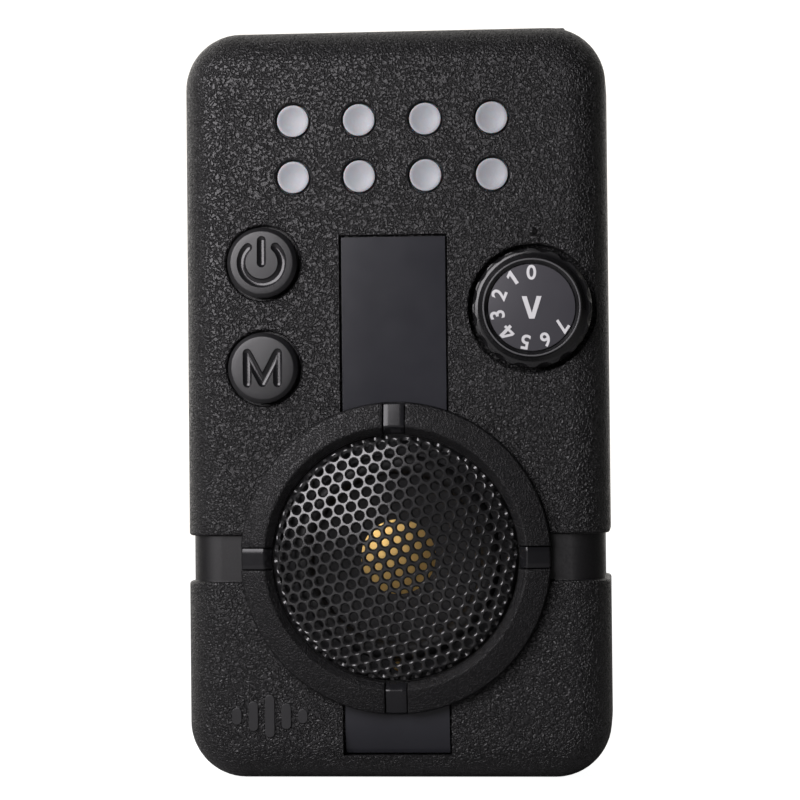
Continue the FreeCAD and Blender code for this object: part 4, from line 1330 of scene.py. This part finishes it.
cells_at = [middle(f"battery_{n}") for n in (1, 2, 3)]
plates_low, plates_high = span("contact_plates")
PLATE_T = 0.3
WIRE_R = 0.25
spring_h = span("battery_1")[0].z - plates_low.z - PLATE_T
coil = spring_tree().grow("coil", bpy.data.meshes.new("empty"), Turns=3.5, Foot_Radius=3.5, Tip_Radius=2.0,
                          Height=spring_h - 2 * WIRE_R, Wire=WIRE_R, Material=steel)
spring_places = []
for n, cell in enumerate(cells_at):
    z = plates_high.z - PLATE_T - WIRE_R if n % 2 else plates_low.z + PLATE_T + WIRE_R
    spring_places.append(Vector((cell.x, cell.y, z)))
springs = set_down("battery_coils", coil, spring_places, steel, Roll_Odd=math.pi, Seed=1)
fit(springs, "case", "steel", steel, "battery_springs")

# %% [markdown]
# ## Cells
#
# Each cell is a turned can with a rolled edge, a nub at its positive end and a plain two-tone sleeve.

# %% Three cells
NUB_H = 1.2
NUB_R = 1.9
BAND_H = 14.0


def cell(number):
    node = f"battery_{number}"
    low, high = span(node)
    centre = (low + high) / 2
    radius = (high.x - low.x) / 2
    length = high.z - low.z
    profile = eased([(0, 0), (radius, 0, 0.45), (radius, length - NUB_H, 0.5),
                     (radius - 1.2, length - NUB_H, 0.1), (radius - 1.2, length - NUB_H - 0.15),
                     (NUB_R, length - NUB_H - 0.15), (NUB_R, length, 0.3), (0, length)])
    can = turned(f"cell_{number}", profile, ORIGIN, 64)
    upright = Matrix.Rotation(math.radians(90 if number % 2 else -90), 4, "X")
    start = low.z if number % 2 else high.z
    can.data.transform(Matrix.Translation(Vector((centre.x, centre.y, start)) * MM) @ upright)
    if number % 2:
        positive = (high.z - BAND_H, high.z - NUB_H - 0.4)
    else:
        positive = (low.z + NUB_H + 0.4, low.z + BAND_H)
    sleeve = cell_sleeve(f"sleeve_{number}", slot_colour["cell_sleeve"], *positive)
    return fit(can, "case", "cell_sleeve", sleeve, node)


for number in (1, 2, 3):
    cell(number)

# %% [markdown]
# ## Pieces that keep their design mesh
#
# What is left is inside the case: boards, chips, wires, contacts and the like. Their design meshes
# are right as they stand, so each only gets its finish.

# %% Finishes for the inner pieces
by_slot = {
    "rubber_black": rubber, "foam_grey": foam, "cap_brass": brass, "steel": steel,
    "magnet_grey": ferrite, "board_green": board_green, "board_brown": board_brown,
    "chip_black": chip_plastic, "can_silver": can_metal, "wire_red": wire_sleeve,
}
painted = 0
slot_of = {part["node"]: part["material_slot"] for part in frame["record"]["subparts"]}
for node, thing in frame["nodes"].items():
    if thing.hide_render:
        continue
    dress(thing, by_slot[slot_of[node]])
    painted += 1
print(painted, "inner pieces finished")

# %% [markdown]
# ## Floor, light and surroundings
#
# The unit stands on a plain white floor in white surroundings. Black plastic shows what it reflects,
# so the surroundings do most of the lighting: white behind, brighter on the left than on the right,
# which wraps a soft rim round every edge, and darkness in front, broken by one large soft light high
# on the left.

# %% Floor
def stage_floor():
    bpy.ops.mesh.primitive_circle_add(vertices=96, radius=1.2, fill_type="NGON", location=(0, 0, -0.0002))
    floor = bpy.context.object
    floor.name = "studio_floor"
    material = bpy.data.materials.new("white_floor")
    material.use_nodes = True
    shader = material.node_tree.nodes["Principled BSDF"]
    shader.inputs["Base Color"].default_value = (0.3, 0.3, 0.3, 1)
    shader.inputs["Roughness"].default_value = 0.9
    shader.inputs["Emission Color"].default_value = (1, 1, 1, 1)
    path = material.node_tree.nodes.new("ShaderNodeLightPath")
    seen = Number(material.node_tree, path.outputs["Is Camera Ray"]) * 0.98
    feed(material.node_tree, shader.inputs["Emission Strength"], seen)
    floor.data.materials.append(material)


stage_floor()

# %% World
def surroundings():
    world = bpy.data.worlds.new("white_surroundings")
    bpy.context.scene.world = world
    world.use_nodes = True
    tree = world.node_tree
    back = tree.nodes["Background"]
    way = tree.nodes.new("ShaderNodeTexCoord")
    parts = tree.nodes.new("ShaderNodeSeparateXYZ")
    tree.links.new(way.outputs["Generated"], parts.inputs[0])
    behind = Number(tree, parts.outputs["Y"]).step(0.15, 0.65)
    path = tree.nodes.new("ShaderNodeLightPath")
    right = Number(tree, parts.outputs["X"]).step(0.25, 0.8)
    left = (Number(tree, parts.outputs["X"]) * -1.0).step(0.1, 0.7)
    glow = behind.between(0.01, 1.0) * right.between(1.0, 0.2) * left.between(1.0, 2.0)
    glow = glow.math("MAXIMUM", Number(tree, path.outputs["Is Camera Ray"]) * 1.2)
    feed(tree, back.inputs["Color"], (1.0, 0.97, 0.93, 1))
    feed(tree, back.inputs["Strength"], glow)


surroundings()

# %% Lights
def soft_light(name, place, aim, width, height, power, colour):
    light = bpy.data.lights.new(name, "AREA")
    light.shape = "RECTANGLE"
    light.size = width
    light.size_y = height
    light.energy = power
    light.color = colour
    lamp = bpy.data.objects.new(name, light)
    bpy.context.scene.collection.objects.link(lamp)
    lamp.location = place
    lamp.rotation_euler = (Vector(aim) - Vector(place)).to_track_quat("-Z", "Y").to_euler()
    lamp.visible_camera = False


body_middle = Vector((0, 0, TOP_Z / 2)) * MM
soft_light("key", (-0.13, -0.2, 0.165), body_middle, 0.22, 0.2, 1.1, (1.0, 0.965, 1.0))
bpy.context.scene.view_settings.view_transform = "Standard"

# %% [markdown]
# ## Camera
#
# The camera looks almost straight at the face, from a little to the right, with a long lens that
# keeps the sides parallel.

# %% Camera
AIM = Vector((0.9, FACE_Y, 59.4))
AZIMUTH = math.radians(4.9)
ELEVATION = math.radians(-1.0)
ROLL = math.radians(-0.54)
DISTANCE = 430.0
FRAME_WIDTH = 125.0
camera_data = bpy.data.cameras.new("camera")
camera = bpy.data.objects.new("camera", camera_data)
bpy.context.scene.collection.objects.link(camera)
back = Vector((math.sin(AZIMUTH) * math.cos(ELEVATION), -math.cos(AZIMUTH) * math.cos(ELEVATION),
               math.sin(ELEVATION)))
camera.location = (AIM + back * DISTANCE) * MM
look = (-back).to_track_quat("-Z", "Y").to_matrix().to_4x4()
camera.rotation_euler = (look @ Matrix.Rotation(ROLL, 4, "Z")).to_euler()
camera_data.sensor_width = 36.0
camera_data.lens = DISTANCE / FRAME_WIDTH * camera_data.sensor_width
camera_data.clip_start = 0.01
bpy.context.scene.camera = camera
